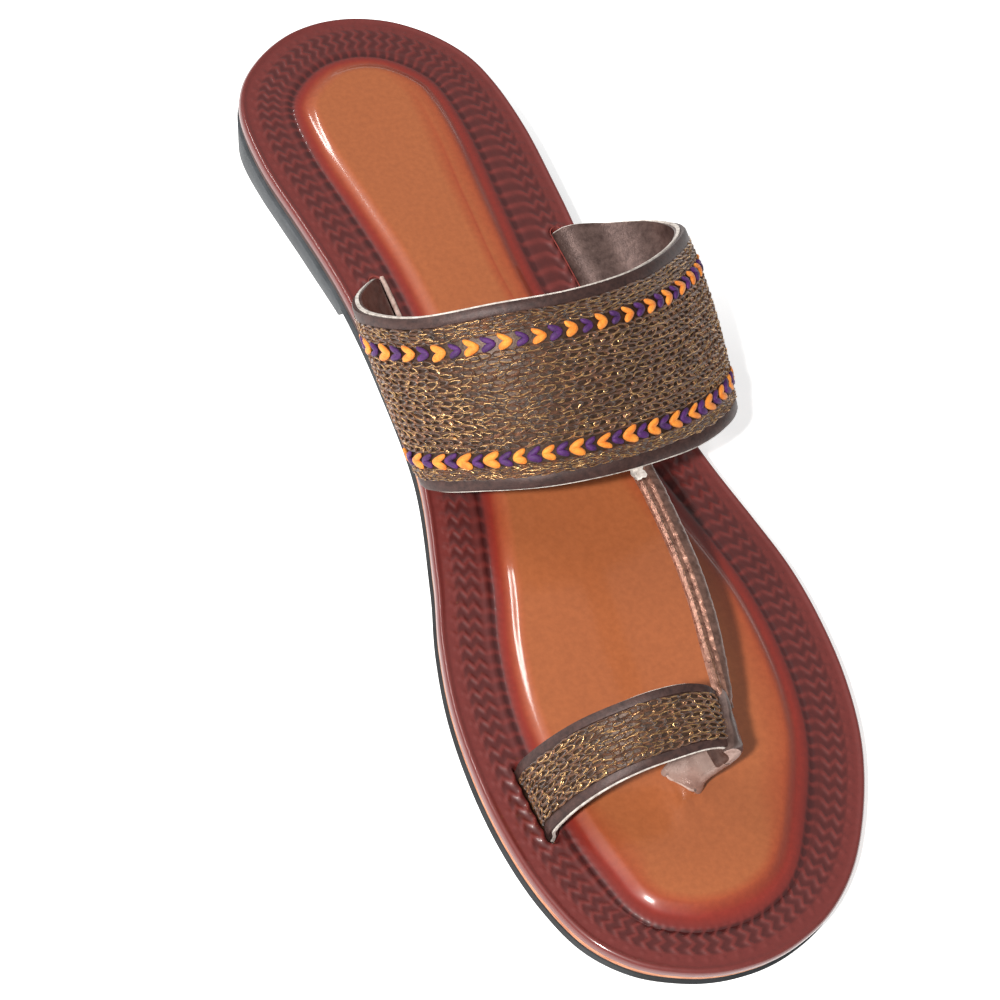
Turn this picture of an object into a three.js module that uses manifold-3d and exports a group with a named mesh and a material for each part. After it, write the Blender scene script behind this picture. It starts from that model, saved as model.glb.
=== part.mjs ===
// Left toe-loop slide sandal: outsole sheet with a heel block, insole board, embossed cover with a padded
// centre, and one leather upper made of an instep band, a thin connecting strap and a toe loop.
// Millimetres, +Z up, toe towards -Y, little-toe side towards +X, standing on its sole.
import * as THREE from "three";
import { mergeVertices } from "three/addons/utils/BufferGeometryUtils.js";
import Module from "manifold-3d";

const wasm = await Module();
wasm.setup();

// Sole
const soleLength = 250;
const ballWidth = 89;
const outsoleSheet = 1.8;
const heelRise = 9;
const heelPitchLength = 85;
const heelPitchEndShare = 0.245;
const toeSpring = 2.5;
const toeSpringStartShare = -0.34;
const heelBlockLength = 76;
const heelBreastRun = 3;
const heelSideTaper = 3;
const heelBackTaper = 1.7;
const heelBackLength = 24;
const boardThickness = 1.8;
const boardInset = 0.4;
const coverThickness = 2;
const outsoleInset = 0.2;
const outsoleFlare = 0.2;
const sideGrooveHeight = 0.8;
const sideGrooveDepth = 0.7;
const seatGap = 0.3;

// Cover
const rimRadius = 1.2;
const rimShoulderShare = 0.3;
const rimFootShare = 1.8;
const borderDrop = 0.3;
const borderWidth = 12.4;
const borderWaistExtra = 2.8;
const borderWaistPlace = 0.27;
const borderWaistReach = 0.2;
const grooveDepth = 0.5;
const grooveWidth = 1.4;
const padFootDrop = 0.2;
const padRise = 1.6;
const padShoulder = 4.5;
const padRollReachShare = 0.3;
const padRollRiseShare = 0.62;

// Instep band
const upperWall = 2.2;
const bandHalfSpread = 41;
const bandHeelRise = 39.5;
const bandToeRise = 23;
const bandHeelLean = 40;
const bandToeLean = 27;
const bandCrown = 1.4;
const bandCrownReach = 0.2;
const bandHeelEnd = 47;
const bandLateralHeelEnd = 53;
const bandSlitLength = 45;
const slitInsetMedial = 7;
const slitInsetLateral = 4.6;
const bindingWidth = 2.6;
const ribbonWidth = 3.6;
const stitchRise = 0.5;
const ribbonRise = 0.9;

// Toe loop and connecting strap
const toeLoopPlace = -72;
const toeLoopWidth = 16;
const toeLoopSpan = 36;
const toeLoopRise = 25.5;
const toeLoopSkew = 0.8;
const toeLoopWall = 1.8;
const toeLoopBinding = 1.9;
const toeLoopFieldEnd = 0.66;
const toeSlitInset = 8.3;
const postSlitReach = 33.5;
const postSlitLength = 7.5;
const postToeShare = 0.16;
const linkWidth = 5.4;
const linkThickness = 1.6;
const linkArch = 3.4;
const linkSway = 0.8;
const linkTuck = 9;
const linkBandPlace = 0.518;
const linkSleevePlace = 0.27;
const linkSleeveTurn = 0.675;
const linkTurnStart = 0.5;
const sleeveStart = 0.655;
const sleeveEnd = 0.75;
const sleeveWall = 1.3;
const sleeveOverhang = 0.8;
const seamOverlap = 0.5;
const slitClearance = 0.3;
const slitReach = 0.16;
const strapSpare = 1.5;
const smoothReach = 0.1;

// Outline of the sole: share of the length from the heel, and how far the inner (medial) and
// outer (lateral) edges lie from the centre line, as shares of the ball width.
const OUTLINE = [
  { along: 0, inner: -0.134, outer: -0.134 },
  { along: 0.003, inner: -0.213, outer: -0.056 },
  { along: 0.013, inner: -0.295, outer: 0.027 },
  { along: 0.035, inner: -0.386, outer: 0.118 },
  { along: 0.065, inner: -0.459, outer: 0.188 },
  { along: 0.1, inner: -0.495, outer: 0.227 },
  { along: 0.16, inner: -0.493, outer: 0.258 },
  { along: 0.24, inner: -0.449, outer: 0.27 },
  { along: 0.32, inner: -0.405, outer: 0.279 },
  { along: 0.4, inner: -0.378, outer: 0.317 },
  { along: 0.5, inner: -0.366, outer: 0.366 },
  { along: 0.6, inner: -0.419, outer: 0.446 },
  { along: 0.66, inner: -0.465, outer: 0.486 },
  { along: 0.72, inner: -0.494, outer: 0.5 },
  { along: 0.78, inner: -0.5, outer: 0.492 },
  { along: 0.84, inner: -0.486, outer: 0.455 },
  { along: 0.9, inner: -0.447, outer: 0.376 },
  { along: 0.945, inner: -0.39, outer: 0.284 },
  { along: 0.975, inner: -0.305, outer: 0.182 },
  { along: 0.992, inner: -0.204, outer: 0.076 },
  { along: 0.9985, inner: -0.13, outer: 0.0 },
  { along: 1, inner: -0.065, outer: -0.065 },
];

// Instep band between its two slits: where its heel-side and toe-side edges lie across the foot
// (share of the half spread), above the slit (share of each rise) and forward of it (share of
// each lean).
const BAND = [
  { heelAcross: -0.81, heelRise: 0.09, heelLean: 0.16, toeAcross: -0.76, toeRise: 0.08, toeLean: 0.2 },
  { heelAcross: -0.97, heelRise: 0.28, heelLean: 0.37, toeAcross: -0.86, toeRise: 0.22, toeLean: 0.42 },
  { heelAcross: -1.02, heelRise: 0.465, heelLean: 0.58, toeAcross: -0.83, toeRise: 0.4, toeLean: 0.58 },
  { heelAcross: -0.88, heelRise: 0.715, heelLean: 0.83, toeAcross: -0.68, toeRise: 0.62, toeLean: 0.75 },
  { heelAcross: -0.5, heelRise: 0.94, heelLean: 0.97, toeAcross: -0.4, toeRise: 0.87, toeLean: 0.94 },
  { heelAcross: -0.12, heelRise: 1, heelLean: 1, toeAcross: -0.1, toeRise: 0.98, toeLean: 1 },
  { heelAcross: 0.29, heelRise: 0.94, heelLean: 0.9, toeAcross: 0.22, toeRise: 1, toeLean: 0.97 },
  { heelAcross: 0.7, heelRise: 0.73, heelLean: 0.63, toeAcross: 0.54, toeRise: 0.92, toeLean: 0.85 },
  { heelAcross: 0.92, heelRise: 0.52, heelLean: 0.37, toeAcross: 0.81, toeRise: 0.77, toeLean: 0.62 },
  { heelAcross: 0.92, heelRise: 0.31, heelLean: 0.17, toeAcross: 0.95, toeRise: 0.49, toeLean: 0.32 },
  { heelAcross: 0.72, heelRise: 0.1, heelLean: 0.0, toeAcross: 0.86, toeRise: 0.16, toeLean: 0.08 },
];

// Toe loop from its slit at the big-toe side to the slit of the post: across (share of the
// span), up (share of the rise) for both edges, and how far each edge has moved in from its
// full width (share of the width).
const TOE_LOOP = [
  { across: 0.0, heelUp: 0.16, toeUp: 0.16, heelIn: 0.0, toeIn: 0.0 },
  { across: 0.11, heelUp: 0.47, toeUp: 0.41, heelIn: 0.0, toeIn: 0.06 },
  { across: 0.26, heelUp: 0.73, toeUp: 0.64, heelIn: 0.02, toeIn: 0.08 },
  { across: 0.45, heelUp: 0.91, toeUp: 0.765, heelIn: 0.05, toeIn: 0.1 },
  { across: 0.65, heelUp: 1.0, toeUp: 0.8, heelIn: 0.06, toeIn: 0.12 },
  { across: 0.85, heelUp: 1.0, toeUp: 0.8, heelIn: 0.08, toeIn: 0.14 },
  { across: 0.99, heelUp: 0.93, toeUp: 0.75, heelIn: 0.14, toeIn: 0.13 },
  { across: 1.06, heelUp: 0.78, toeUp: 0.6, heelIn: 0.2, toeIn: 0.12 },
  { across: 1.04, heelUp: 0.55, toeUp: 0.42, heelIn: 0.28, toeIn: 0.13 },
  { across: 0.98, heelUp: 0.27, toeUp: 0.21, heelIn: 0.4, toeIn: 0.15 },
];

// Shares across each strap where its faces are split, shares along the connecting strap where it
// passes through its arch, and the places of the two ribbons across the band.
const BAND_FIELD_COLUMNS = [0.37, 0.52, 0.67];
const LOOP_FIELD_COLUMNS = [0.36, 0.5, 0.64];
const LINK_COLUMNS = [0, 0.25, 0.75, 1];
const LINK_ARCH_SHARES = [0.12, 0.5, 0.82];
const RIBBONS = [0.21, 0.83];

// Mesh fineness
const STATIONS = 54;
const OUTLINE_STEPS = 16;
const BAND_STEPS = 30;
const LOOP_STEPS = 26;
const LINK_STEPS = 14;
const SLEEVE_STEPS = 4;
const COLUMN_STEP = 0.012;
const NUDGE = 1e-3;

const lerp = (a, b, share) => a + (b - a) * share;
const ease = (share) => {
  const s = Math.min(1, Math.max(0, share));
  return s * s * (3 - 2 * s);
};

// Heights

const pitchEnd = heelPitchEndShare * soleLength;
const pitchStart = pitchEnd - heelPitchLength;
const springStart = toeSpringStartShare * soleLength;

function springAt(y) {
  const share = Math.max(0, (springStart - y) / (soleLength / 2 + springStart));
  return toeSpring * share * share;
}

function coverTop(y) {
  const stack = outsoleSheet + boardThickness + coverThickness + 2 * seatGap;
  return stack + heelRise * ease((y - pitchStart) / (pitchEnd - pitchStart)) + springAt(y);
}

const coverBottom = (y) => coverTop(y) - coverThickness;
const boardTop = (y) => coverBottom(y) - seatGap;
const boardBottom = (y) => boardTop(y) - boardThickness;
const outsoleTop = (y) => boardBottom(y) - seatGap;

// The outsole is an even sheet; its heel block reaches the floor and ends in an upright breast.
const heelFront = soleLength / 2 - heelBlockLength;

function heelBlockShare(y) {
  return y >= heelFront ? 1 : 1 - Math.min(1, (heelFront - y) / heelBreastRun);
}

function outsoleUnder(y) {
  const sheet = outsoleTop(y) - outsoleSheet;
  return y > 0 ? sheet * (1 - heelBlockShare(y)) : sheet;
}

// How far the heel block's foot lies inside its top edge: less at the back than at the sides.
function heelTaper(y) {
  const back = ease((y - soleLength / 2 + 2 * heelBackLength) / heelBackLength);
  return heelBlockShare(y) * lerp(heelSideTaper, heelBackTaper, back);
}

// Outline and rings

function edgePoints(side) {
  return OUTLINE.map((row) => new THREE.Vector3(
    row[side] * ballWidth,
    soleLength * (0.5 - row.along),
    0,
  ));
}

const inner = edgePoints("inner");
const outer = edgePoints("outer");
const loopPoints = [...inner, ...outer.slice(1, -1).reverse()];
const outlineCurve = new THREE.CatmullRomCurve3(loopPoints, true, "centripetal");
const outlineDense = outlineCurve.getPoints(loopPoints.length * OUTLINE_STEPS).slice(0, -1);

// How far across the sole's edge lies at a place along it: side -1 is inner, +1 is outer.
function edgeX(y, side) {
  const crossings = [];
  for (let i = 0; i < outlineDense.length; i += 1) {
    const a = outlineDense[i];
    const b = outlineDense[(i + 1) % outlineDense.length];
    if ((a.y - y) * (b.y - y) <= 0 && a.y !== b.y) {
      crossings.push(lerp(a.x, b.x, (y - a.y) / (b.y - a.y)));
    }
  }
  return side < 0 ? Math.min(...crossings) : Math.max(...crossings);
}

// Stations run from heel to toe, close together at both ends, with two at the heel's breast.
const breastStations = [heelFront, heelFront - heelBreastRun];
const evenStations = Array.from(
  { length: STATIONS - 1 },
  (_, k) => (soleLength / 2) * Math.cos((Math.PI * (k + 1)) / STATIONS),
);
const stations = evenStations
  .filter((y) => breastStations.every((breast) => Math.abs(y - breast) > heelBreastRun / 2))
  .concat(breastStations)
  .sort((a, b) => b - a);
const heelTip = new THREE.Vector2(inner[0].x, soleLength / 2);
const toeTip = new THREE.Vector2(inner.at(-1).x, -soleLength / 2);
const boundary = [
  heelTip,
  ...stations.map((y) => new THREE.Vector2(edgeX(y, -1), y)),
  toeTip,
  ...stations.map((y) => new THREE.Vector2(edgeX(y, 1), y)).reverse(),
];
const ringSize = boundary.length;
const inward = boundary.map((point, i) => {
  const before = boundary[(i + ringSize - 1) % ringSize];
  const after = boundary[(i + 1) % ringSize];
  const run = after.clone().sub(before).normalize();
  return new THREE.Vector2(-run.y, run.x);
});

function insetPoint(i, distance) {
  return boundary[i].clone().addScaledVector(inward[i], distance);
}

function borderAt(i) {
  const point = boundary[i];
  if (point.x < 0) {
    return borderWidth;
  }
  const along = 0.5 - point.y / soleLength;
  const share = (along - borderWaistPlace) / borderWaistReach;
  return borderWidth + borderWaistExtra * Math.exp(-share * share);
}

// A closed layer of the sole: rings of { inset, height } from the underside's edge up over the
// side to the innermost ring of the top, with both ends closed by cross rows.
function layerGeometry(rings) {
  const positions = [];
  const index = [];
  for (const ring of rings) {
    for (let i = 0; i < ringSize; i += 1) {
      const inset = typeof ring.inset === "function" ? ring.inset(i) : ring.inset;
      const p = insetPoint(i, inset);
      positions.push(p.x, p.y, ring.height(p.y));
    }
  }
  for (let r = 0; r + 1 < rings.length; r += 1) {
    for (let i = 0; i < ringSize; i += 1) {
      const a = r * ringSize + i;
      const b = r * ringSize + ((i + 1) % ringSize);
      index.push(a, b, a + ringSize, b, b + ringSize, a + ringSize);
    }
  }
  const last = (rings.length - 1) * ringSize;
  const half = ringSize / 2;
  for (let k = 0; k < half; k += 1) {
    const left = [k, k + 1];
    const right = [(ringSize - k) % ringSize, ringSize - k - 1];
    const quad = [left[0], left[1], right[1], right[0]];
    addCrossRow(index, quad, 0, false);
    addCrossRow(index, quad, last, true);
  }
  return meshGeometry(positions, index);
}

function addCrossRow(index, quad, base, up) {
  const [a, b, c, d] = quad;
  const faces = [[a, b, c], [a, c, d]];
  for (const face of faces) {
    if (new Set(face).size === 3) {
      const [p, q, r] = face;
      index.push(base + p, base + (up ? q : r), base + (up ? r : q));
    }
  }
}

function meshGeometry(positions, index) {
  const geometry = new THREE.BufferGeometry();
  geometry.setAttribute("position", new THREE.Float32BufferAttribute(positions, 3));
  geometry.setIndex(index);
  return geometry;
}

// Solids

function solidOf(geometry) {
  const bare = geometry.clone();
  bare.deleteAttribute("normal");
  bare.deleteAttribute("uv");
  const merged = mergeVertices(bare, 1e-4);
  const mesh = new wasm.Mesh({
    numProp: 3,
    vertProperties: new Float32Array(merged.attributes.position.array),
    triVerts: new Uint32Array(merged.index.array),
  });
  return new wasm.Manifold(mesh);
}

function geometryOf(solid) {
  const mesh = solid.getMesh();
  return meshGeometry(Array.from(mesh.vertProperties), Array.from(mesh.triVerts));
}

// A strap: a wall that follows surface(t, w), t along the strap and w across it, with its outer
// face raised by outerRise(t, w) and its inner face one wall below.
function wallGeometry(surface, tList, wList, outerRise, depth) {
  const rows = tList.length;
  const cols = wList.length;
  const positions = [];
  for (const face of [1, 0]) {
    for (const t of tList) {
      for (const w of wList) {
        const normal = surfaceNormal(surface, t, w);
        const shift = face === 1 ? outerRise(t, w) : -depth;
        const p = surface(t, w).addScaledVector(normal, shift);
        positions.push(p.x, p.y, p.z);
      }
    }
  }
  const index = [];
  const at = (face, i, j) => face * rows * cols + i * cols + j;
  const quad = (a, b, c, d) => index.push(a, b, c, a, c, d);
  for (let i = 0; i + 1 < rows; i += 1) {
    for (let j = 0; j + 1 < cols; j += 1) {
      quad(at(0, i, j), at(0, i, j + 1), at(0, i + 1, j + 1), at(0, i + 1, j));
      quad(at(1, i, j), at(1, i + 1, j), at(1, i + 1, j + 1), at(1, i, j + 1));
    }
    quad(at(0, i, 0), at(0, i + 1, 0), at(1, i + 1, 0), at(1, i, 0));
    quad(at(0, i + 1, cols - 1), at(0, i, cols - 1), at(1, i, cols - 1), at(1, i + 1, cols - 1));
  }
  for (let j = 0; j + 1 < cols; j += 1) {
    quad(at(0, 0, j + 1), at(0, 0, j), at(1, 0, j), at(1, 0, j + 1));
    quad(at(0, rows - 1, j), at(0, rows - 1, j + 1), at(1, rows - 1, j + 1), at(1, rows - 1, j));
  }
  return meshGeometry(positions, index);
}

function surfaceNormal(surface, t, w) {
  const tIn = Math.min(1 - NUDGE, Math.max(NUDGE, t));
  const wIn = Math.min(1 - NUDGE, Math.max(NUDGE, w));
  const alongT = surface(tIn + NUDGE, wIn).sub(surface(tIn - NUDGE, wIn));
  const alongW = surface(tIn, wIn + NUDGE).sub(surface(tIn, wIn - NUDGE));
  return alongW.cross(alongT).normalize();
}

function steps(count) {
  return Array.from({ length: count + 1 }, (_, i) => i / count);
}

// A curve that leaves its first slit straight up and goes straight down into its last one; its
// ends are trimmed later, just above the outsole.
function strapEdge(points) {
  const first = points[0].clone();
  const last = points.at(-1).clone();
  first.z = boardBottom(first.y) - strapSpare;
  last.z = boardBottom(last.y) - strapSpare;
  return new THREE.CatmullRomCurve3([first, ...points, last], false, "centripetal");
}

// Instep band

function slitPoint(side, y, inset) {
  return new THREE.Vector3(edgeX(y, side) - side * inset, y, coverTop(y));
}

const bandMedialToe = bandHeelEnd - bandSlitLength;
const bandLateralToe = bandLateralHeelEnd - bandSlitLength;

function bandEdge(prefix, start, end, rise, lean) {
  const base = (start.z + end.z) / 2;
  const middle = (start.y + end.y) / 2;
  const rows = BAND.map((row) => new THREE.Vector3(
    row[`${prefix}Across`] * bandHalfSpread,
    middle - row[`${prefix}Lean`] * lean,
    base + row[`${prefix}Rise`] * rise,
  ));
  return strapEdge([start, ...rows, end]);
}

const bandSlits = {
  medialHeel: slitPoint(-1, bandHeelEnd, slitInsetMedial),
  medialToe: slitPoint(-1, bandMedialToe, slitInsetMedial),
  lateralHeel: slitPoint(1, bandLateralHeelEnd, slitInsetLateral),
  lateralToe: slitPoint(1, bandLateralToe, slitInsetLateral),
};
const { medialHeel, medialToe, lateralHeel, lateralToe } = bandSlits;
const bandHeelCurve = bandEdge("heel", medialHeel, lateralHeel, bandHeelRise, bandHeelLean);
const bandToeCurve = bandEdge("toe", medialToe, lateralToe, bandToeRise, bandToeLean);

function bandSurface(t, w) {
  const heelSide = bandHeelCurve.getPointAt(t);
  const toeSide = bandToeCurve.getPointAt(t);
  const point = heelSide.clone().lerp(toeSide, w);
  const free = ease(t / bandCrownReach) * ease((1 - t) / bandCrownReach);
  const out = new THREE.Vector3(point.x / bandHalfSpread, 0, 1).normalize();
  return point.addScaledVector(out, bandCrown * free * Math.sin(Math.PI * w));
}

// Across the band: a flat binding at each edge, stitched fields, and two raised ribbons.
const bandWidth = bandHeelCurve.getPointAt(0.5).distanceTo(bandToeCurve.getPointAt(0.5));
const bindingShare = bindingWidth / bandWidth;
const ribbonHalf = ribbonWidth / bandWidth / 2;

function bandColumnList() {
  const marks = [bindingShare, 1 - bindingShare];
  for (const place of RIBBONS) {
    marks.push(place - ribbonHalf, place + ribbonHalf);
  }
  const cuts = marks.flatMap((mark) => [mark - COLUMN_STEP, mark + COLUMN_STEP]);
  return [0, ...cuts, ...BAND_FIELD_COLUMNS, 1].sort((a, b) => a - b);
}

function bandRise(t, w) {
  const inRibbon = RIBBONS.some((place) => Math.abs(w - place) < ribbonHalf);
  const inBinding = w < bindingShare || w > 1 - bindingShare;
  const free = t > smoothReach && t < 1 - smoothReach ? 1 : 0;
  const raised = inRibbon ? ribbonRise : stitchRise;
  return inBinding ? 0 : raised * free;
}

const bandRows = steps(BAND_STEPS);
const bandColumns = bandColumnList();

function bandSolid() {
  return solidOf(wallGeometry(bandSurface, bandRows, bandColumns, bandRise, upperWall));
}

// Toe loop

const toeSlitY = toeLoopPlace;
const toeLoopStart = edgeX(toeSlitY, -1) + toeSlitInset;

function loopEdges() {
  const toeY = toeSlitY - toeLoopWidth;
  const heelStart = new THREE.Vector3(toeLoopStart, toeSlitY, coverTop(toeSlitY));
  const toeStart = new THREE.Vector3(edgeX(toeY, -1) + toeSlitInset, toeY, coverTop(toeY));
  const heelRow = (row) => new THREE.Vector3(
    toeLoopStart + row.across * toeLoopSpan,
    toeSlitY - row.heelIn * toeLoopWidth,
    heelStart.z + padRise * row.across + row.heelUp * toeLoopRise,
  );
  const toeRow = (row) => new THREE.Vector3(
    toeLoopStart + row.across * toeLoopSpan + toeLoopSkew,
    toeY + row.toeIn * toeLoopWidth,
    toeStart.z + padRise * row.across + row.toeUp * toeLoopRise,
  );
  const postX = toeLoopStart + postSlitReach;
  const postY = toeY + postToeShare * toeLoopWidth;
  const slant = postSlitLength * Math.SQRT1_2;
  const top = coverTop(postY) + padRise;
  const heelEnd = new THREE.Vector3(postX - slant / 2, postY + slant, top);
  const toeEnd = new THREE.Vector3(postX + slant / 2, postY, top);
  return {
    heel: strapEdge([heelStart, ...TOE_LOOP.map(heelRow), heelEnd]),
    toe: strapEdge([toeStart, ...TOE_LOOP.map(toeRow), toeEnd]),
  };
}

const loopCurves = loopEdges();

function loopSurface(t, w) {
  return loopCurves.heel.getPointAt(t).lerp(loopCurves.toe.getPointAt(t), w);
}

const loopBinding = toeLoopBinding / toeLoopWidth;

function loopRise(t, w) {
  const across = w > loopBinding && w < 1 - loopBinding;
  const along = t > smoothReach && t < toeLoopFieldEnd;
  return across && along ? stitchRise : 0;
}

const loopRows = steps(LOOP_STEPS);
const loopColumns = [
  0,
  loopBinding - COLUMN_STEP,
  loopBinding + COLUMN_STEP,
  ...LOOP_FIELD_COLUMNS,
  1 - loopBinding - COLUMN_STEP,
  1 - loopBinding + COLUMN_STEP,
  1,
];

function loopSolid() {
  return solidOf(wallGeometry(loopSurface, loopRows, loopColumns, loopRise, toeLoopWall));
}

// Sleeve: plain leather folded round the loop where it bends down to the post.

function sleeveSolid() {
  const overhang = sleeveOverhang / toeLoopWidth;
  const rows = steps(SLEEVE_STEPS).map((share) => lerp(sleeveStart, sleeveEnd, share));
  const columns = [-overhang, 0, ...LOOP_FIELD_COLUMNS, 1, 1 + overhang];
  const rise = (t, w) => (w < 0 || w > 1 ? sleeveWall / 2 : sleeveWall);
  return solidOf(wallGeometry(loopSurface, rows, columns, rise, toeLoopWall + sleeveWall / 2));
}

// Connecting strap: sewn under the band's toe-side edge, arching forward to the sleeve near its
// heel-side edge, where it turns to lie on it.

function linkPath() {
  const under = (w) => {
    const normal = surfaceNormal(bandSurface, linkBandPlace, w);
    return bandSurface(linkBandPlace, w).addScaledVector(normal, seamOverlap - upperWall);
  };
  const start = under(1 - linkTuck / bandWidth);
  const edge = under(1);
  const lift = sleeveWall + linkThickness - seamOverlap;
  const end = loopSurface(linkSleeveTurn, linkSleevePlace)
    .addScaledVector(surfaceNormal(loopSurface, linkSleeveTurn, linkSleevePlace), lift);
  const between = LINK_ARCH_SHARES.map((share) => {
    const point = edge.clone().lerp(end, share);
    point.z += linkArch * Math.sin(Math.PI * share);
    point.x += linkSway * Math.sin(Math.PI * share);
    return point;
  });
  return new THREE.CatmullRomCurve3([start, edge, ...between, end], false, "centripetal");
}

const linkCurve = linkPath();
const sleeveRun = loopSurface(linkSleeveTurn + NUDGE, linkSleevePlace)
  .sub(loopSurface(linkSleeveTurn - NUDGE, linkSleevePlace))
  .normalize();

function linkSurface(t, w) {
  const turn = ease((t - linkTurnStart) / (1 - linkTurnStart));
  const across = new THREE.Vector3(1, 0, 0).lerp(sleeveRun, turn).normalize();
  return linkCurve.getPointAt(t).addScaledVector(across, (0.5 - w) * linkWidth);
}

function linkSolid() {
  const rows = steps(LINK_STEPS);
  return solidOf(wallGeometry(linkSurface, rows, LINK_COLUMNS, () => 0, linkThickness));
}

// Slits: each strap end, with a clearance all round, is cut out of cover and board.

function slitCutter(surface, rows, columns, wall, atStart) {
  const near = atStart ? 0 : 1;
  const spare = slitClearance / surface(near, 0).distanceTo(surface(near, 1));
  const tList = rows.filter((t) => Math.abs(t - near) < slitReach);
  const wList = [-spare, ...columns.slice(1, -1), 1 + spare];
  const rise = () => slitClearance;
  return solidOf(wallGeometry(surface, tList, wList, rise, wall + slitClearance));
}

function slitPair(surface, rows, columns, wall) {
  const start = slitCutter(surface, rows, columns, wall, true);
  return start.add(slitCutter(surface, rows, columns, wall, false));
}

// Layers of the sole

function outsoleGeometry() {
  const side = outsoleInset;
  const foot = (i) => side - outsoleFlare + heelTaper(boundary[i].y);
  return layerGeometry([
    { inset: foot, height: outsoleUnder },
    { inset: side, height: (y) => outsoleTop(y) - sideGrooveHeight },
    { inset: side + sideGrooveDepth, height: (y) => outsoleTop(y) - sideGrooveHeight },
    { inset: side + sideGrooveDepth, height: outsoleTop },
  ]);
}

function boardGeometry() {
  return layerGeometry([
    { inset: boardInset, height: boardBottom },
    { inset: boardInset, height: boardTop },
  ]);
}

function coverGeometry() {
  const border = (share) => (i) => borderAt(i) + share;
  const level = (rise) => (y) => coverTop(y) + rise;
  return layerGeometry([
    { inset: 0, height: coverBottom },
    { inset: 0, height: level(-rimRadius) },
    { inset: rimRadius * rimShoulderShare, height: level(-rimRadius * rimShoulderShare) },
    { inset: rimRadius, height: level(0) },
    { inset: rimRadius * rimFootShare, height: level(-borderDrop) },
    { inset: border(-grooveWidth), height: level(-borderDrop) },
    { inset: border(-grooveWidth / 2), height: level(-grooveDepth) },
    { inset: border(0), height: level(-padFootDrop) },
    { inset: border(padShoulder * padRollReachShare), height: level(padRise * padRollRiseShare) },
    { inset: border(padShoulder), height: level(padRise) },
  ]);
}

// What lies under the trimmed ends of the straps.
function floorGeometry() {
  return layerGeometry([
    { inset: 0, height: () => -soleLength },
    { inset: 0, height: (y) => outsoleTop(y) + seatGap },
  ]);
}

// Assembly

const finishes = {
  outsole: { color: 0x4a4d50, roughness: 0.75 },
  insole_board: { color: 0xc4784f, roughness: 0.8 },
  footbed: { color: 0x8e3a28, roughness: 0.35 },
  upper: { color: 0x4b3b2c, roughness: 0.55, metalness: 0.25 },
};

const slits = slitPair(bandSurface, bandRows, bandColumns, upperWall)
  .add(slitPair(loopSurface, loopRows, loopColumns, toeLoopWall));

const upperWhole = bandSolid().add(loopSolid()).add(sleeveSolid()).add(linkSolid());

const geometries = {
  outsole: outsoleGeometry(),
  insole_board: geometryOf(solidOf(boardGeometry()).subtract(slits)),
  footbed: geometryOf(solidOf(coverGeometry()).subtract(slits)),
  upper: geometryOf(upperWhole.subtract(solidOf(floorGeometry()))),
};

const group = new THREE.Group();
for (const [name, geometry] of Object.entries(geometries)) {
  const mesh = new THREE.Mesh(geometry, new THREE.MeshStandardMaterial(finishes[name]));
  mesh.name = name;
  group.add(mesh);
}

// The origin is under the middle of the whole sandal, on the floor.
const whole = new THREE.Box3().setFromObject(group);
const middle = whole.getCenter(new THREE.Vector3());
group.position.set(-middle.x, -middle.y, -whole.min.z);
group.updateMatrixWorld(true);

export default group;
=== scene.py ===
"""Left slide sandal: embossed footbed, stitched instep band, connecting strap and toe loop.

All sizes are in millimetres in the sandal's own frame: +X is the little-toe side, +Y the heel
and +Z up. Meshes are written in metres.
"""

import logging
import math
import random
from dataclasses import dataclass, field
from enum import Enum
from typing import Callable, Sequence

import bpy
import numpy as np
from mathutils import Matrix, Vector


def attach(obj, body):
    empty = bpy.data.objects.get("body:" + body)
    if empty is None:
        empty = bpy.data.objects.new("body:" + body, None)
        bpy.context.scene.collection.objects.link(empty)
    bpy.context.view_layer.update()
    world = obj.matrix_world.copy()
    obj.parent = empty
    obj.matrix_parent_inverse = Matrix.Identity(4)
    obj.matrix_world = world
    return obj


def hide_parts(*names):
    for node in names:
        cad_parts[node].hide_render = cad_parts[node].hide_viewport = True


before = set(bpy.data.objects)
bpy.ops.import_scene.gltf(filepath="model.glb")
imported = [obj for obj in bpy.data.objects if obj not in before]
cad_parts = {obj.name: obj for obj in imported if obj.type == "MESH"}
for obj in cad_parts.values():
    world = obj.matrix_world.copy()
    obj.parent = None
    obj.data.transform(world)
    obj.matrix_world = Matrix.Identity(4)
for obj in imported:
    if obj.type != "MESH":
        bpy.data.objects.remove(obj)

log = logging.getLogger("sandal")

MM = 0.001
SEED = 7
Array = np.ndarray

# Outline of the sole: share of the length from the heel, inner and outer edge as shares of width.
OUTLINE = (
    (0.0, -0.134, -0.134),
    (0.003, -0.213, -0.056),
    (0.013, -0.295, 0.027),
    (0.035, -0.386, 0.118),
    (0.065, -0.459, 0.188),
    (0.1, -0.495, 0.227),
    (0.16, -0.493, 0.258),
    (0.24, -0.449, 0.27),
    (0.32, -0.405, 0.279),
    (0.4, -0.378, 0.317),
    (0.5, -0.366, 0.366),
    (0.6, -0.419, 0.446),
    (0.66, -0.465, 0.486),
    (0.72, -0.494, 0.5),
    (0.78, -0.5, 0.492),
    (0.84, -0.486, 0.455),
    (0.9, -0.447, 0.376),
    (0.945, -0.39, 0.284),
    (0.975, -0.305, 0.182),
    (0.992, -0.204, 0.076),
    (0.9985, -0.13, 0.0),
    (1.0, -0.065, -0.065),
)

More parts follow.
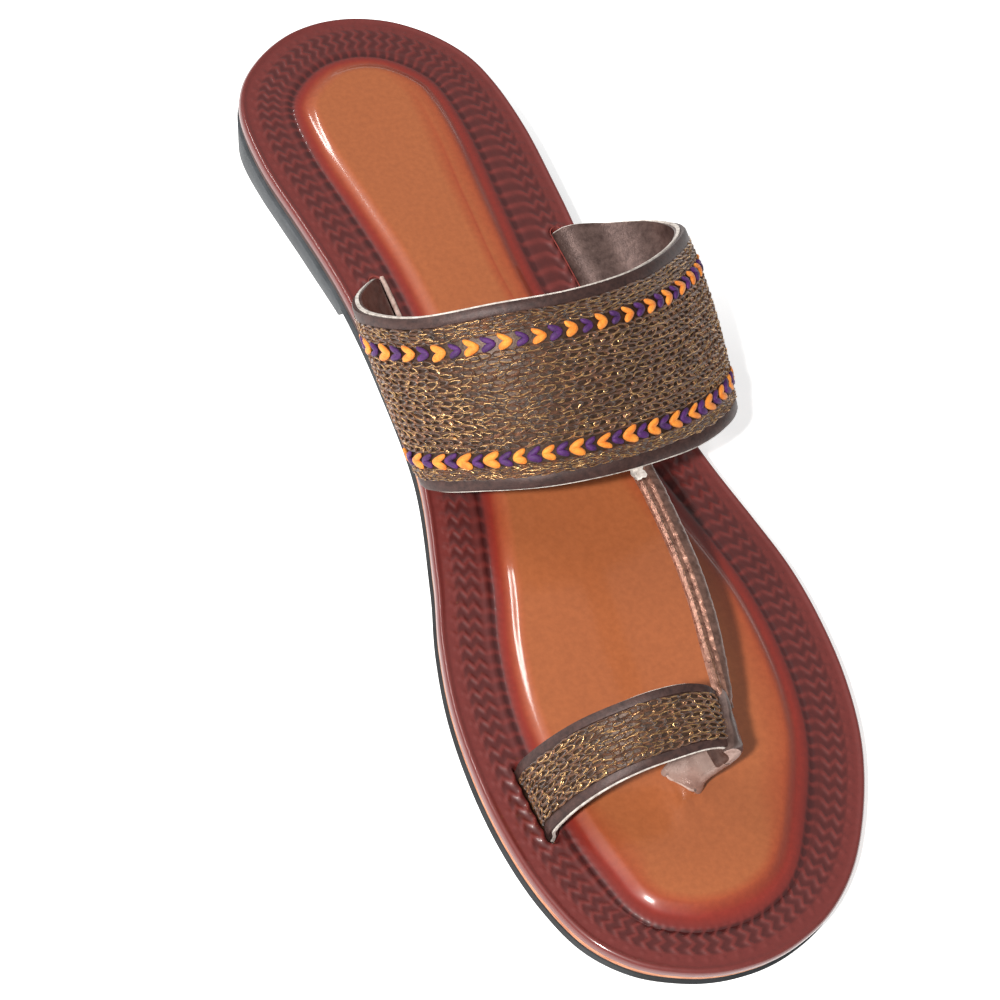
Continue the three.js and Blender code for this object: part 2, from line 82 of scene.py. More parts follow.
# Instep band: across, rise and lean of the heel-side edge, then of the toe-side edge.
BAND_ROWS = (
    (-0.81, 0.09, 0.16, -0.76, 0.08, 0.2),
    (-0.97, 0.28, 0.37, -0.86, 0.22, 0.42),
    (-1.02, 0.465, 0.58, -0.83, 0.4, 0.58),
    (-0.88, 0.715, 0.83, -0.68, 0.62, 0.75),
    (-0.5, 0.94, 0.97, -0.4, 0.87, 0.94),
    (-0.12, 1.0, 1.0, -0.1, 0.98, 1.0),
    (0.29, 0.94, 0.9, 0.22, 1.0, 0.97),
    (0.7, 0.73, 0.63, 0.54, 0.92, 0.85),
    (0.92, 0.52, 0.37, 0.81, 0.77, 0.62),
    (0.92, 0.31, 0.17, 0.95, 0.49, 0.32),
    (0.72, 0.1, 0.0, 0.86, 0.16, 0.08),
)

# Toe loop: across, rise of the heel-side and toe-side edge, and how far each edge has moved in.
LOOP_ROWS = (
    (0.0, 0.16, 0.16, 0.0, 0.0),
    (0.11, 0.47, 0.41, 0.0, 0.06),
    (0.26, 0.73, 0.64, 0.02, 0.08),
    (0.45, 0.91, 0.765, 0.05, 0.1),
    (0.65, 1.0, 0.8, 0.06, 0.12),
    (0.85, 1.0, 0.8, 0.08, 0.14),
    (0.99, 0.93, 0.75, 0.14, 0.13),
    (1.06, 0.78, 0.6, 0.2, 0.12),
    (1.04, 0.55, 0.42, 0.28, 0.13),
    (0.98, 0.27, 0.21, 0.4, 0.15),
)


# Soft forms of the pad: place across and along, reach across and along, height.
PAD_LIFT = 0.1
PAD_FORMS = (
    (-5.5, -87.5, 2.3, 4.2, 0.9),
    (0.0, -45.0, 20.0, 34.0, -0.35),
    (-12.0, 88.0, 14.0, 22.0, -0.3),
)

# Rolled rim of the cover: distance in from the edge and height against the border.
RIM_ROWS = ((0.0, -1.2), (0.12, -0.7), (0.36, -0.36))


class Side(Enum):
    """The two long edges of the sole."""

    INNER = -1
    OUTER = 1


class Slot(Enum):
    """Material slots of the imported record."""

    OUTSOLE = "outsole"
    BOARD = "board"
    COVER = "cover"
    STRAP = "strap"


def ease(share: Array | float) -> Array:
    """Smooth step from 0 to 1.

    Args:
        share: Position between the two ends, of any range.

    Returns:
        The eased share, from 0 to 1.
    """
    s = np.clip(share, 0.0, 1.0)
    return s * s * (3.0 - 2.0 * s)


def unit(vectors: Array) -> Array:
    """Scale vectors to length one.

    Args:
        vectors: Array whose last axis holds the components.

    Returns:
        The unit vectors.
    """
    return vectors / np.maximum(np.linalg.norm(vectors, axis=-1, keepdims=True), 1e-9)


class SmoothCurve:
    """Centripetal curve through points, read by share of its arc length."""

    def __init__(self, points: Sequence, closed: bool = False, samples: int = 40) -> None:
        """Sample the curve densely.

        Args:
            points: Points to pass through.
            closed: Whether the last point joins the first.
            samples: Samples per span.
        """
        pts = np.asarray(points, float)
        if closed:
            ext = np.vstack([pts[-1:], pts, pts[:2]])
        else:
            ext = np.vstack([2 * pts[0] - pts[1], pts, 2 * pts[-1] - pts[-2]])
        u = np.linspace(0.0, 1.0, samples, endpoint=False)
        spans = [self._span(ext[i : i + 4], u) for i in range(len(ext) - 3)]
        self.points = np.vstack([*spans, ext[-2:-1]])
        steps = np.linalg.norm(np.diff(self.points, axis=0), axis=1)
        self.lengths = np.concatenate([[0.0], np.cumsum(steps)])
        self.length = float(self.lengths[-1])

    @staticmethod
    def _span(p: Array, u: Array) -> Array:
        """Evaluate one span.

        Args:
            p: The four points around the span.
            u: Parameters from 0 to 1.

        Returns:
            One point per parameter.
        """
        gaps = [max(float(np.sum((p[k + 1] - p[k]) ** 2)) ** 0.25, 1e-4) for k in range(3)]
        g0, g1, g2 = gaps
        t1 = ((p[1] - p[0]) / g0 - (p[2] - p[0]) / (g0 + g1) + (p[2] - p[1]) / g1) * g1
        t2 = ((p[2] - p[1]) / g1 - (p[3] - p[1]) / (g1 + g2) + (p[3] - p[2]) / g2) * g1
        c2 = -3 * p[1] + 3 * p[2] - 2 * t1 - t2
        c3 = 2 * p[1] - 2 * p[2] + t1 + t2
        u = u[:, None]
        return p[1] + t1 * u + c2 * u**2 + c3 * u**3

    def at(self, shares: Array | float) -> Array:
        """Read points on the curve.

        Args:
            shares: Shares of the arc length.

        Returns:
            The points, one row per share.
        """
        along = np.clip(shares, 0.0, 1.0) * self.length
        columns = [np.interp(along, self.lengths, self.points[:, k]) for k in range(3)]
        return np.stack(columns, axis=-1)


@dataclass(frozen=True)
class SoleSizes:
    """Sizes of the sole's layers and of the cover's border and pad."""

    length: float = 250.0
    width: float = 89.0
    sheet: float = 1.8
    heel_rise: float = 9.0
    toe_spring: float = 2.5
    toe_spring_start: float = -0.34
    heel_pitch: float = 85.0
    heel_pitch_end: float = 0.245
    block_length: float = 76.0
    breast_run: float = 3.0
    side_taper: float = 3.0
    back_taper: float = 1.7
    back_length: float = 24.0
    board: float = 1.8
    cover: float = 2.0
    gap: float = 0.3
    board_inset: float = 0.4
    sole_inset: float = 0.2
    sole_flare: float = 0.2
    border: float = 12.4
    border_extra: float = 2.8
    border_tip: float = 3.0
    waist: float = 0.27
    waist_reach: float = 0.2
    tip_reach: float = 13.0
    middle_half: float = 10.0
    pad_rise: float = 1.6
    pad_shoulder: float = 4.5

    def spring(self, y: Array) -> Array:
        """Height of the toe spring.

        Args:
            y: Places along the sole.

        Returns:
            Rise above the flat tread.
        """
        start = self.toe_spring_start * self.length
        share = np.maximum(0.0, (start - y) / (self.length / 2 + start))
        return self.toe_spring * share**2

    def cover_top(self, y: Array) -> Array:
        """Height of the cover's border.

        Args:
            y: Places along the sole.

        Returns:
            Heights above the floor.
        """
        stack = self.sheet + self.board + self.cover + 2 * self.gap
        end = self.heel_pitch_end * self.length
        rise = self.heel_rise * ease((y - end + self.heel_pitch) / self.heel_pitch)
        return stack + rise + self.spring(y)

    def board_top(self, y: Array) -> Array:
        """Height of the insole board's top.

        Args:
            y: Places along the sole.

        Returns:
            Heights above the floor.
        """
        return self.cover_top(y) - self.cover - self.gap

    def sole_top(self, y: Array) -> Array:
        """Height of the outsole's top.

        Args:
            y: Places along the sole.

        Returns:
            Heights above the floor.
        """
        return self.board_top(y) - self.board - self.gap

    def sole_under(self, y: Array) -> Array:
        """Height of the outsole's underside.

        Args:
            y: Places along the sole.

        Returns:
            Heights above the floor.
        """
        sheet = self.sole_top(y) - self.sheet
        return np.where(y > 0, sheet * (1 - self.block_share(y)), sheet)

    def block_share(self, y: Array) -> Array:
        """Share of the heel block's height that stands under the sheet.

        Args:
            y: Places along the sole.

        Returns:
            Shares from 0 to 1.
        """
        front = self.length / 2 - self.block_length
        return 1 - np.clip((front - y) / self.breast_run, 0.0, 1.0)

    def block_taper(self, y: Array) -> Array:
        """How far the foot of the heel block lies inside its top edge.

        Args:
            y: Places along the sole.

        Returns:
            Distances.
        """
        back = ease((y - self.length / 2 + 2 * self.back_length) / self.back_length)
        taper = self.side_taper + (self.back_taper - self.side_taper) * back
        return self.block_share(y) * taper


@dataclass(frozen=True)
class EmbossSizes:
    """Relief pressed into the cover, from its rim to the roll of its pad."""

    rim_rise: float = 0.05
    rim_drop: float = 0.42
    rim_end: float = 0.9
    pitch: float = 3.6
    lean: float = 1.7
    tooth: float = 2.8
    tooth_start: float = 3.9
    skew: float = 0.8
    crest: float = 2.4
    ridge: float = 0.5
    ridge_loss: float = 0.04
    strip_start: float = 3.7
    strip_fade_in: float = 0.8
    strip_end: float = 9.2
    strip_fade_out: float = 1.0
    bead: float = 0.26
    bead_place: float = 3.3
    bead_reach: float = 0.45
    shelf: float = 0.28
    shelf_start: float = 9.6
    shelf_reach: float = 1.4
    groove: float = 0.45
    groove_place: float = 0.3
    groove_reach: float = 0.55
    pearl: float = 0.045
    pearl_pitch: float = 2.45
    pearl_place: float = 0.5
    pearl_reach: float = 0.4
    foot_rise: float = 0.25
    foot_reach: float = 2.2
    roll_less: float = 0.15
    roll_start: float = 2.5
    roll_reach: float = 3.4

    def marked(self, inset: float) -> float:
        """Share of the zigzag's depth at a distance in from the edge.

        Args:
            inset: Distance in from the edge.

        Returns:
            1 within the zigzag's strip and 0 outside it.
        """
        begun = ease((inset - self.strip_start) / self.strip_fade_in)
        ended = ease((inset - self.strip_end) / self.strip_fade_out)
        return float(begun * (1 - ended))


@dataclass(frozen=True)
class SlitSizes:
    """Form of the cover where straps pass through it."""

    clearance: float = 0.3
    depth: float = 2.4
    overlap: float = 0.1
    drop_run: float = 0.5
    lip: float = 0.42
    lip_place: float = 0.9
    lip_reach: float = 0.8
    post_rise: float = 0.35
    post_reach: float = 6.0
    edge_out: float = 0.25
    edge_lift: float = 0.16
    edge_radius: float = 0.15
    bare_start: float = -0.02
    bare_end: float = 0.42
    bare_out: float = 0.5
    bare_swell: float = 0.3
    bare_radius: float = 0.6


class Outline:
    """Plan outline of the sole with its inward normals and its spine."""

    toe_end = -84.0
    heel_end = 91.0
    normal_step = 0.004

    def __init__(self, sizes: SoleSizes) -> None:
        """Build the outline.

        Args:
            sizes: Sizes of the sole.
        """
        self.sizes = sizes
        inner = [(r[1] * sizes.width, sizes.length * (0.5 - r[0]), 0.0) for r in OUTLINE]
        outer = [(r[2] * sizes.width, sizes.length * (0.5 - r[0]), 0.0) for r in OUTLINE]
        self.curve = SmoothCurve([*inner, *outer[1:-1][::-1]], closed=True)
        dense = self.curve.points
        turn = int(np.argmin(dense[:, 1]))
        self._inner = dense[: turn + 1][::-1]
        self._outer = dense[turn:]

    def edge_x(self, y: Array | float, side: Side) -> Array:
        """Place of an edge across the sole.

        Args:
            y: Places along the sole.
            side: Which edge.

        Returns:
            Places across.
        """
        edge = self._inner if side is Side.INNER else self._outer
        return np.interp(y, edge[:, 1], edge[:, 0])

    def ring(self, count: int) -> tuple[Array, Array, Array]:
        """Points around the edge.

        Args:
            count: Number of points.

        Returns:
            Points, inward normals and arc lengths from the heel tip.
        """
        shares = np.arange(count) / count
        step = self.normal_step
        points = self.curve.at(shares)[:, :2]
        ahead = self.curve.at((shares + step) % 1.0)[:, :2]
        behind = self.curve.at((shares - step) % 1.0)[:, :2]
        run = unit(ahead - behind)
        return points, np.stack([-run[:, 1], run[:, 0]], axis=1), shares * self.curve.length

    def spine(self, points: Array) -> Array:
        """Nearest places on the middle line, for points on the edge.

        Args:
            points: Plan points.

        Returns:
            Plan points on the spine.
        """
        y = np.clip(points[:, 1], self.toe_end, self.heel_end)
        middle = (self.edge_x(y, Side.INNER) + self.edge_x(y, Side.OUTER)) / 2
        return np.stack([middle, y], axis=1)


@dataclass
class MeshParts:
    """Vertices, faces and UVs gathered for one object."""

    vertices: list[Array] = field(default_factory=list)
    faces: list[Array] = field(default_factory=list)
    uvs: list[Array] = field(default_factory=list)
    slots: list[Array] = field(default_factory=list)
    count: int = 0

    def add(
        self, vertices: Array, faces: Array, uv: Array | None = None, slot: Array | int = 0
    ) -> None:
        """Add a patch.

        Args:
            vertices: Points in millimetres.
            faces: Quads or triangles as vertex numbers; a triangle repeats its last vertex.
            uv: One pair per vertex.
            slot: Material index, for all faces or one per face.
        """
        vertices = vertices.reshape(-1, 3)
        self.vertices.append(vertices)
        self.faces.append(faces + self.count)
        self.uvs.append(np.zeros((len(vertices), 2)) if uv is None else uv.reshape(-1, 2))
        self.slots.append(np.broadcast_to(slot, (len(faces),)).astype(np.int32))
        self.count += len(vertices)


def grid_faces(rows: int, cols: int, wrap: bool = False) -> Array:
    """Quads of a grid of vertices.

    Args:
        rows: Number of rows.
        cols: Number of columns.
        wrap: Whether the last column joins the first.

    Returns:
        One quad per cell.
    """
    i, j = np.meshgrid(np.arange(rows - 1), np.arange(cols if wrap else cols - 1), indexing="ij")
    k = (j + 1) % cols
    quads = [i * cols + j, i * cols + k, (i + 1) * cols + k, (i + 1) * cols + j]
    return np.stack(quads, axis=-1).reshape(-1, 4)


class Piece:
    """A finished Blender object that rides on the sandal's body."""

    def __init__(
        self,
        name: str,
        parts: MeshParts,
        materials: Sequence[bpy.types.Material],
        node: str,
        slot: Slot,
        sharp: float = 50.0,
    ) -> None:
        """Make the object and tie it to the frame.

        Args:
            name: Plain name.
            parts: Mesh data in millimetres.
            materials: Materials in slot order.
            node: CAD node that the object stands for.
            slot: Material slot of the record; not used.
            sharp: Angle in degrees above which an edge stays sharp.
        """
        vertices = np.vstack(parts.vertices) * MM
        faces = [tuple(dict.fromkeys(f)) for f in np.vstack(parts.faces).tolist()]
        mesh = bpy.data.meshes.new(name)
        mesh.from_pydata(vertices.tolist(), [], faces)
        loops = np.empty(len(mesh.loops), np.int32)
        mesh.loops.foreach_get("vertex_index", loops)
        layer = mesh.uv_layers.new(name="UVMap")
        layer.data.foreach_set("uv", np.vstack(parts.uvs)[loops].ravel().astype(np.float32))
        mesh.polygons.foreach_set("material_index", np.concatenate(parts.slots))
        mesh.shade_smooth()
        mesh.set_sharp_from_angle(angle=math.radians(sharp))
        for material in materials:
            mesh.materials.append(material)
        self.object = bpy.data.objects.new(name, mesh)
        bpy.context.scene.collection.objects.link(self.object)
        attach(self.object, "root")
        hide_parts(node)
        log.info("%s: %d faces", name, len(faces))


class Shader:
    """Builds one node material."""

    def __init__(self, name: str) -> None:
        """Start with a principled shader.

        Args:
            name: Material name.
        """
        self.material = bpy.data.materials.new(name)
        self.material.use_nodes = True
        self.nodes = self.material.node_tree.nodes
        self.links = self.material.node_tree.links
        self.surface = self.nodes["Principled BSDF"]
        self.coordinates = self.nodes.new("ShaderNodeTexCoord")

    def value(self, **inputs: float | tuple) -> None:
        """Set constants on the principled shader.

        Args:
            inputs: Socket names with underscores for spaces.
        """
        for name, amount in inputs.items():
            self.surface.inputs[name.replace("_", " ")].default_value = amount

    def _place(self, stretch: tuple[float, float, float] | None) -> bpy.types.NodeSocket:
        """Object coordinates, stretched if asked.

        Args:
            stretch: Scale along each axis, or None.

        Returns:
            A vector socket.
        """
        source = self.coordinates.outputs["Object"]
        if stretch is None:
            return source
        mapping = self.nodes.new("ShaderNodeMapping")
        mapping.inputs["Scale"].default_value = stretch
        self.links.new(source, mapping.inputs["Vector"])
        return mapping.outputs["Vector"]

    def noise(
        self,
        size: float,
        detail: float = 4.0,
        rough: float = 0.55,
        stretch: tuple[float, float, float] | None = None,
    ) -> bpy.types.NodeSocket:
        """Noise with features of a given size.

        Args:
            size: Feature size in millimetres.
            detail: Octaves.
            rough: Roughness of the octaves.
            stretch: Scale along each axis, or None.

        Returns:
            A factor socket.
        """
        node = self.nodes.new("ShaderNodeTexNoise")
        node.inputs["Scale"].default_value = 1.0 / (size * MM)
        node.inputs["Detail"].default_value = detail
        node.inputs["Roughness"].default_value = rough
        self.links.new(self._place(stretch), node.inputs["Vector"])
        return node.outputs["Fac"]

    def cells(self, size: float, edge: bool = False) -> bpy.types.NodeSocket:
        """Voronoi cells of a given size.

        Args:
            size: Cell size in millimetres.
            edge: Whether to give the distance to the cell's edge.

        Returns:
            A distance socket.
        """
        node = self.nodes.new("ShaderNodeTexVoronoi")
        node.feature = "DISTANCE_TO_EDGE" if edge else "F1"
        node.inputs["Scale"].default_value = 1.0 / (size * MM)
        self.links.new(self._place(None), node.inputs["Vector"])
        return node.outputs["Distance"]

    def uv(self, axis: str) -> bpy.types.NodeSocket:
        """One UV component.

        Args:
            axis: "X" or "Y".

        Returns:
            A value socket.
        """
        split = self.nodes.new("ShaderNodeSeparateXYZ")
        self.links.new(self.coordinates.outputs["UV"], split.inputs["Vector"])
        return split.outputs[axis]

    def along(self, start: float, end: float) -> bpy.types.NodeSocket:
        """Share of the way between two places along the sole.

        Args:
            start: Where the share is 0.
            end: Where it is 1.

        Returns:
            A factor socket.
        """
        split = self.nodes.new("ShaderNodeSeparateXYZ")
        self.links.new(self.coordinates.outputs["Object"], split.inputs["Vector"])
        node = self.nodes.new("ShaderNodeMapRange")
        node.inputs["From Min"].default_value = start * MM
        node.inputs["From Max"].default_value = end * MM
        self.links.new(split.outputs["Y"], node.inputs["Value"])
        return node.outputs["Result"]

    def math(
        self, kind: str, a: bpy.types.NodeSocket | float, b: bpy.types.NodeSocket | float
    ) -> bpy.types.NodeSocket:
        """Combine two values.

        Args:
            kind: Operation name.
            a: First value.
            b: Second value.

        Returns:
            The result socket.
        """
        node = self.nodes.new("ShaderNodeMath")
        node.operation = kind
        for socket, given in zip(node.inputs, (a, b)):
            if isinstance(given, (int, float)):
                socket.default_value = given
            else:
                self.links.new(given, socket)
        return node.outputs["Value"]

    def ramp(self, factor: bpy.types.NodeSocket, stops: Sequence) -> bpy.types.NodeSocket:
        """Colour ramp.

        Args:
            factor: Value that drives it.
            stops: Pairs of position and sRGB colour in 0 to 255.

        Returns:
            A colour socket.
        """
        node = self.nodes.new("ShaderNodeValToRGB")
        elements = node.color_ramp.elements
        while len(elements) < len(stops):
            elements.new(0.5)
        for element, (place, colour) in zip(elements, stops):
            element.position = place
            element.color = tone(colour)
        self.links.new(factor, node.inputs["Fac"])
        return node.outputs["Color"]

    def blend(
        self,
        factor: bpy.types.NodeSocket | float,
        a: bpy.types.NodeSocket,
        b: bpy.types.NodeSocket,
        kind: str = "MIX",
    ) -> bpy.types.NodeSocket:
        """Mix two colours.

        Args:
            factor: Share of the second.
            a: First colour.
            b: Second colour.
            kind: Blend mode.

        Returns:
            A colour socket.
        """
        node = self.nodes.new("ShaderNodeMix")
        node.data_type = "RGBA"
        node.blend_type = kind
        if isinstance(factor, (int, float)):
            node.inputs[0].default_value = factor
        else:
            self.links.new(factor, node.inputs[0])
        self.links.new(a, node.inputs[6])
        self.links.new(b, node.inputs[7])
        return node.outputs[2]

    def colour(self, socket: bpy.types.NodeSocket) -> None:
        """Drive the base colour.

        Args:
            socket: Colour socket.
        """
        self.links.new(socket, self.surface.inputs["Base Color"])

    def gloss(self, factor: bpy.types.NodeSocket, low: float, high: float) -> None:
        """Drive the roughness between two values.

        Args:
            factor: Value from 0 to 1.
            low: Roughness at 0.
            high: Roughness at 1.
        """
        node = self.nodes.new("ShaderNodeMapRange")
        node.inputs["To Min"].default_value = low
        node.inputs["To Max"].default_value = high
        self.links.new(factor, node.inputs["Value"])
        self.links.new(node.outputs["Result"], self.surface.inputs["Roughness"])

    def bump(self, heights: Sequence[tuple[bpy.types.NodeSocket, float]]) -> None:
        """Chain bump layers into the normal.

        Args:
            heights: Pairs of height socket and depth in millimetres.
        """
        normal = None
        for height, depth in heights:
            node = self.nodes.new("ShaderNodeBump")
            node.inputs["Strength"].default_value = 1.0
            node.inputs["Distance"].default_value = depth * MM
            self.links.new(height, node.inputs["Height"])
            if normal is not None:
                self.links.new(normal, node.inputs["Normal"])
            normal = node.outputs["Normal"]
        self.links.new(normal, self.surface.inputs["Normal"])


def tone(colour: Sequence[float]) -> tuple[float, float, float, float]:
    """Linear colour from 0 to 255 sRGB.

    Args:
        colour: Three numbers from 0 to 255.

    Returns:
        Linear RGBA.
    """
    shares = [c / 255 for c in colour]
    linear = [s / 12.92 if s <= 0.04045 else ((s + 0.055) / 1.055) ** 2.4 for s in shares]
    return (*linear, 1.0)


@dataclass(frozen=True)
class CoverFinish:
    """Glazed embossed leather: burgundy at the border, through red to tan on the pad, with painted
    shade in the emboss valleys and the groove.
    """

    border: tuple = (112, 42, 38)
    strip: tuple = (116, 36, 31)
    red: tuple = (142, 42, 28)
    orange: tuple = (166, 78, 42)
    tan: tuple = (172, 96, 54)

    def make(self) -> bpy.types.Material:
        """Build the material.

        Returns:
            The material.
        """
        shader = Shader("cover_leather")
        cloud = shader.math("MULTIPLY", shader.math("SUBTRACT", shader.noise(14.0), 0.5), 0.1)
        place = shader.math("ADD", shader.uv("Y"), cloud)
        stops = [
            (0.0, self.border), (0.2, self.border), (0.32, self.strip),
            (0.44, self.red), (0.6, self.orange), (0.8, self.tan),
        ]
        base = shader.ramp(place, stops)
        # Painted shade: the U coordinate darkens the emboss valleys and the groove at the pad's
        # foot.
        relief = shader.ramp(shader.uv("X"), [(0.0, (158, 150, 160)), (0.8, (255, 255, 255))])
        base = shader.blend(1.0, base, relief, "MULTIPLY")
        speck = shader.ramp(shader.noise(1.2, 3), [(0.3, (226, 222, 220)), (0.7, (255, 255, 255))])
        shader.colour(shader.blend(0.6, base, speck, "MULTIPLY"))
        shader.gloss(shader.noise(5.0), 0.42, 0.56)
        shader.value(Coat_Weight=1.0, Coat_Roughness=0.13, Specular_IOR_Level=0.4)
        shader.bump([(shader.cells(0.7), 0.005), (shader.noise(0.35, 3), 0.008)])
        return shader.material


@dataclass(frozen=True)
class RubberFinish:
    """Matt dark grey rubber, slightly dusty, with a fine tread grain."""

    dark: tuple = (42, 46, 50)
    light: tuple = (74, 78, 82)
    deep: tuple = (20, 21, 23)

    def make(self) -> bpy.types.Material:
        """Build the material.

        Returns:
            The material.
        """
        shader = Shader("sole_rubber")
        cloud = shader.noise(6.0, 6)
        heel = shader.ramp(cloud, [(0.3, self.dark), (0.75, self.light)])
        front = shader.ramp(cloud, [(0.3, self.deep), (0.75, self.dark)])
        shader.colour(shader.blend(shader.along(-10.0, 50.0), front, heel))
        shader.gloss(shader.noise(3.0), 0.5, 0.75)
        shader.bump([(shader.cells(1.6, edge=True), 0.05), (shader.noise(0.5, 4), 0.05)])
        return shader.material


@dataclass(frozen=True)
class BoardFinish:
    """Raw cut edge of the insole board, tan with brown layers, darkened towards the heel as
    painted shade.
    """

    light: tuple = (212, 146, 108)
    dark: tuple = (158, 88, 60)
    shaded: tuple = (70, 40, 32)
    deep: tuple = (40, 24, 22)

    def make(self) -> bpy.types.Material:
        """Build the material.

        Returns:
            The material.
        """
        shader = Shader("board_edge")
        fibres = shader.noise(1.2, 5, 0.6, stretch=(0.4, 0.4, 3.0))
        fresh = shader.ramp(fibres, [(0.3, self.dark), (0.6, self.light)])
        # Painted shade: towards the heel the edge turns dark, for the shadow gap under the cover.
        painted_shade_heel = shader.ramp(fibres, [(0.3, self.deep), (0.6, self.shaded)])
        shader.colour(shader.blend(shader.along(8.0, 30.0), fresh, painted_shade_heel))
        shader.value(Roughness=0.7)
        shader.bump([(fibres, 0.08)])
        return shader.material


@dataclass(frozen=True)
class MetallicFinish:
    """Foiled leather: a metallic skin over brown, crinkled, with painted highlight lighter on its
    crinkle crests.
    """

    name: str
    dark: tuple
    light: tuple
    metal: float
    low: float
    high: float
    crease: float = 0.12
    crease_size: float = 2.6

    def make(self) -> bpy.types.Material:
        """Build the material.

        Returns:
            The material.
        """
        shader = Shader(self.name)
        crinkle = shader.noise(self.crease_size, 6, 0.65)
        # Painted highlight: the colour follows the crinkle bump and is lighter on its crests.
        shader.colour(shader.ramp(crinkle, [(0.32, self.dark), (0.68, self.light)]))
        shader.gloss(shader.noise(1.5, 4), self.low, self.high)
        shader.value(Metallic=self.metal, Specular_IOR_Level=0.5)
        shader.bump([(crinkle, self.crease), (shader.noise(0.35, 3), 0.03)])
        return shader.material


@dataclass(frozen=True)
class ThreadFinish:
    """Spun thread with fine fibres."""

    name: str
    dark: tuple
    light: tuple
    metal: float = 0.0
    rough: float = 0.6
    sheen: float = 0.3
    patch: float = 1.6

    def make(self) -> bpy.types.Material:
        """Build the material.

        Returns:
            The material.
        """
        shader = Shader(self.name)
        fibre = shader.noise(0.14, 3, 0.6)
        patches = shader.noise(self.patch, 3)
        shade = shader.math("MULTIPLY", shader.math("ADD", patches, fibre), 0.5)
        shader.colour(shader.ramp(shade, [(0.36, self.dark), (0.62, self.light)]))
        shader.value(Metallic=self.metal, Roughness=self.rough, Sheen_Weight=self.sheen)
        shader.bump([(fibre, 0.05)])
        return shader.material


@dataclass(frozen=True)
class RawEdgeFinish:
    """Cut fibres of a pale core, a little grubby."""

    name: str = "raw_core"
    light: tuple = (226, 218, 210)
    dark: tuple = (168, 156, 148)

    def make(self) -> bpy.types.Material:
        """Build the material.

        Returns:
            The material.
        """
        shader = Shader(self.name)
        shader.colour(shader.ramp(shader.noise(1.4, 5), [(0.3, self.dark), (0.58, self.light)]))
        shader.value(Roughness=0.85)
        shader.bump([(shader.noise(0.3, 3), 0.06)])
        return shader.material


class Finishes:
    """All materials of the sandal."""

    def __init__(self) -> None:
        """Build every material once."""
        self.cover = CoverFinish().make()
        self.rubber = RubberFinish().make()
        self.board = BoardFinish().make()
        self.margin = MetallicFinish(
            "band_margin", (46, 29, 27), (78, 53, 48),
            metal=0.2, low=0.44, high=0.56, crease=0.05, crease_size=1.4,
        ).make()
        self.base = MetallicFinish(
            "band_base", (46, 31, 23), (84, 60, 44),
            metal=0.4, low=0.34, high=0.5, crease=0.08, crease_size=1.0,
        ).make()
        self.lining = MetallicFinish(
            "strap_lining", (74, 56, 52), (112, 90, 84),
            metal=0.5, low=0.3, high=0.44, crease=0.14, crease_size=1.8,
        ).make()
        self.foil = MetallicFinish(
            "strap_foil", (118, 80, 68), (202, 152, 132),
            metal=0.68, low=0.2, high=0.38, crease=0.26, crease_size=1.5,
        ).make()
        self.sleeve = MetallicFinish(
            "sleeve_leather", (68, 51, 47), (104, 84, 78),
            metal=0.25, low=0.3, high=0.44, crease=0.06, crease_size=2.2,
        ).make()
        self.thread = ThreadFinish(
            "brown_thread", (70, 44, 30), (138, 94, 66), metal=0.62, rough=0.3
        ).make()
        # Gold strands with dark and bright patches along them: the bright patches are painted
        # glints over the gold.
        self.lurex = ThreadFinish(
            "gold_thread_painted_glints", (92, 58, 36), (252, 204, 140),
            metal=0.75, rough=0.28, sheen=0.0, patch=0.9,
        ).make()
        # Painted shade: a darker copy of the foil for the strap's flank that is turned from the
        # light.
        self.flank = MetallicFinish(
            "strap_flank_painted_shade", (84, 60, 52), (136, 104, 93),
            metal=0.5, low=0.3, high=0.45, crease=0.14, crease_size=1.6,
        ).make()
        # Painted light: a lighter copy of the lining for the post, so that it looks lit beside the
        # loop.
        self.post = MetallicFinish(
            "post_lining_painted_light", (146, 122, 114), (184, 160, 150),
            metal=0.3, low=0.2, high=0.32, crease=0.04, crease_size=5.0,
        ).make()
        self.orange = ThreadFinish("orange_yarn", (214, 104, 20), (250, 160, 54), sheen=0.1).make()
        self.purple = ThreadFinish("purple_yarn", (40, 10, 58), (86, 30, 110), sheen=0.05).make()
        self.core = RawEdgeFinish().make()
        # Pale cut edges: partly the real raw edge, partly painted highlight on edges the light
        # strikes.
        self.rim = RawEdgeFinish("cut_rim_painted_highlight", (196, 170, 160), (150, 122, 112)).make()
        self.lip = RawEdgeFinish("slit_lip", (140, 62, 54), (96, 36, 32)).make()


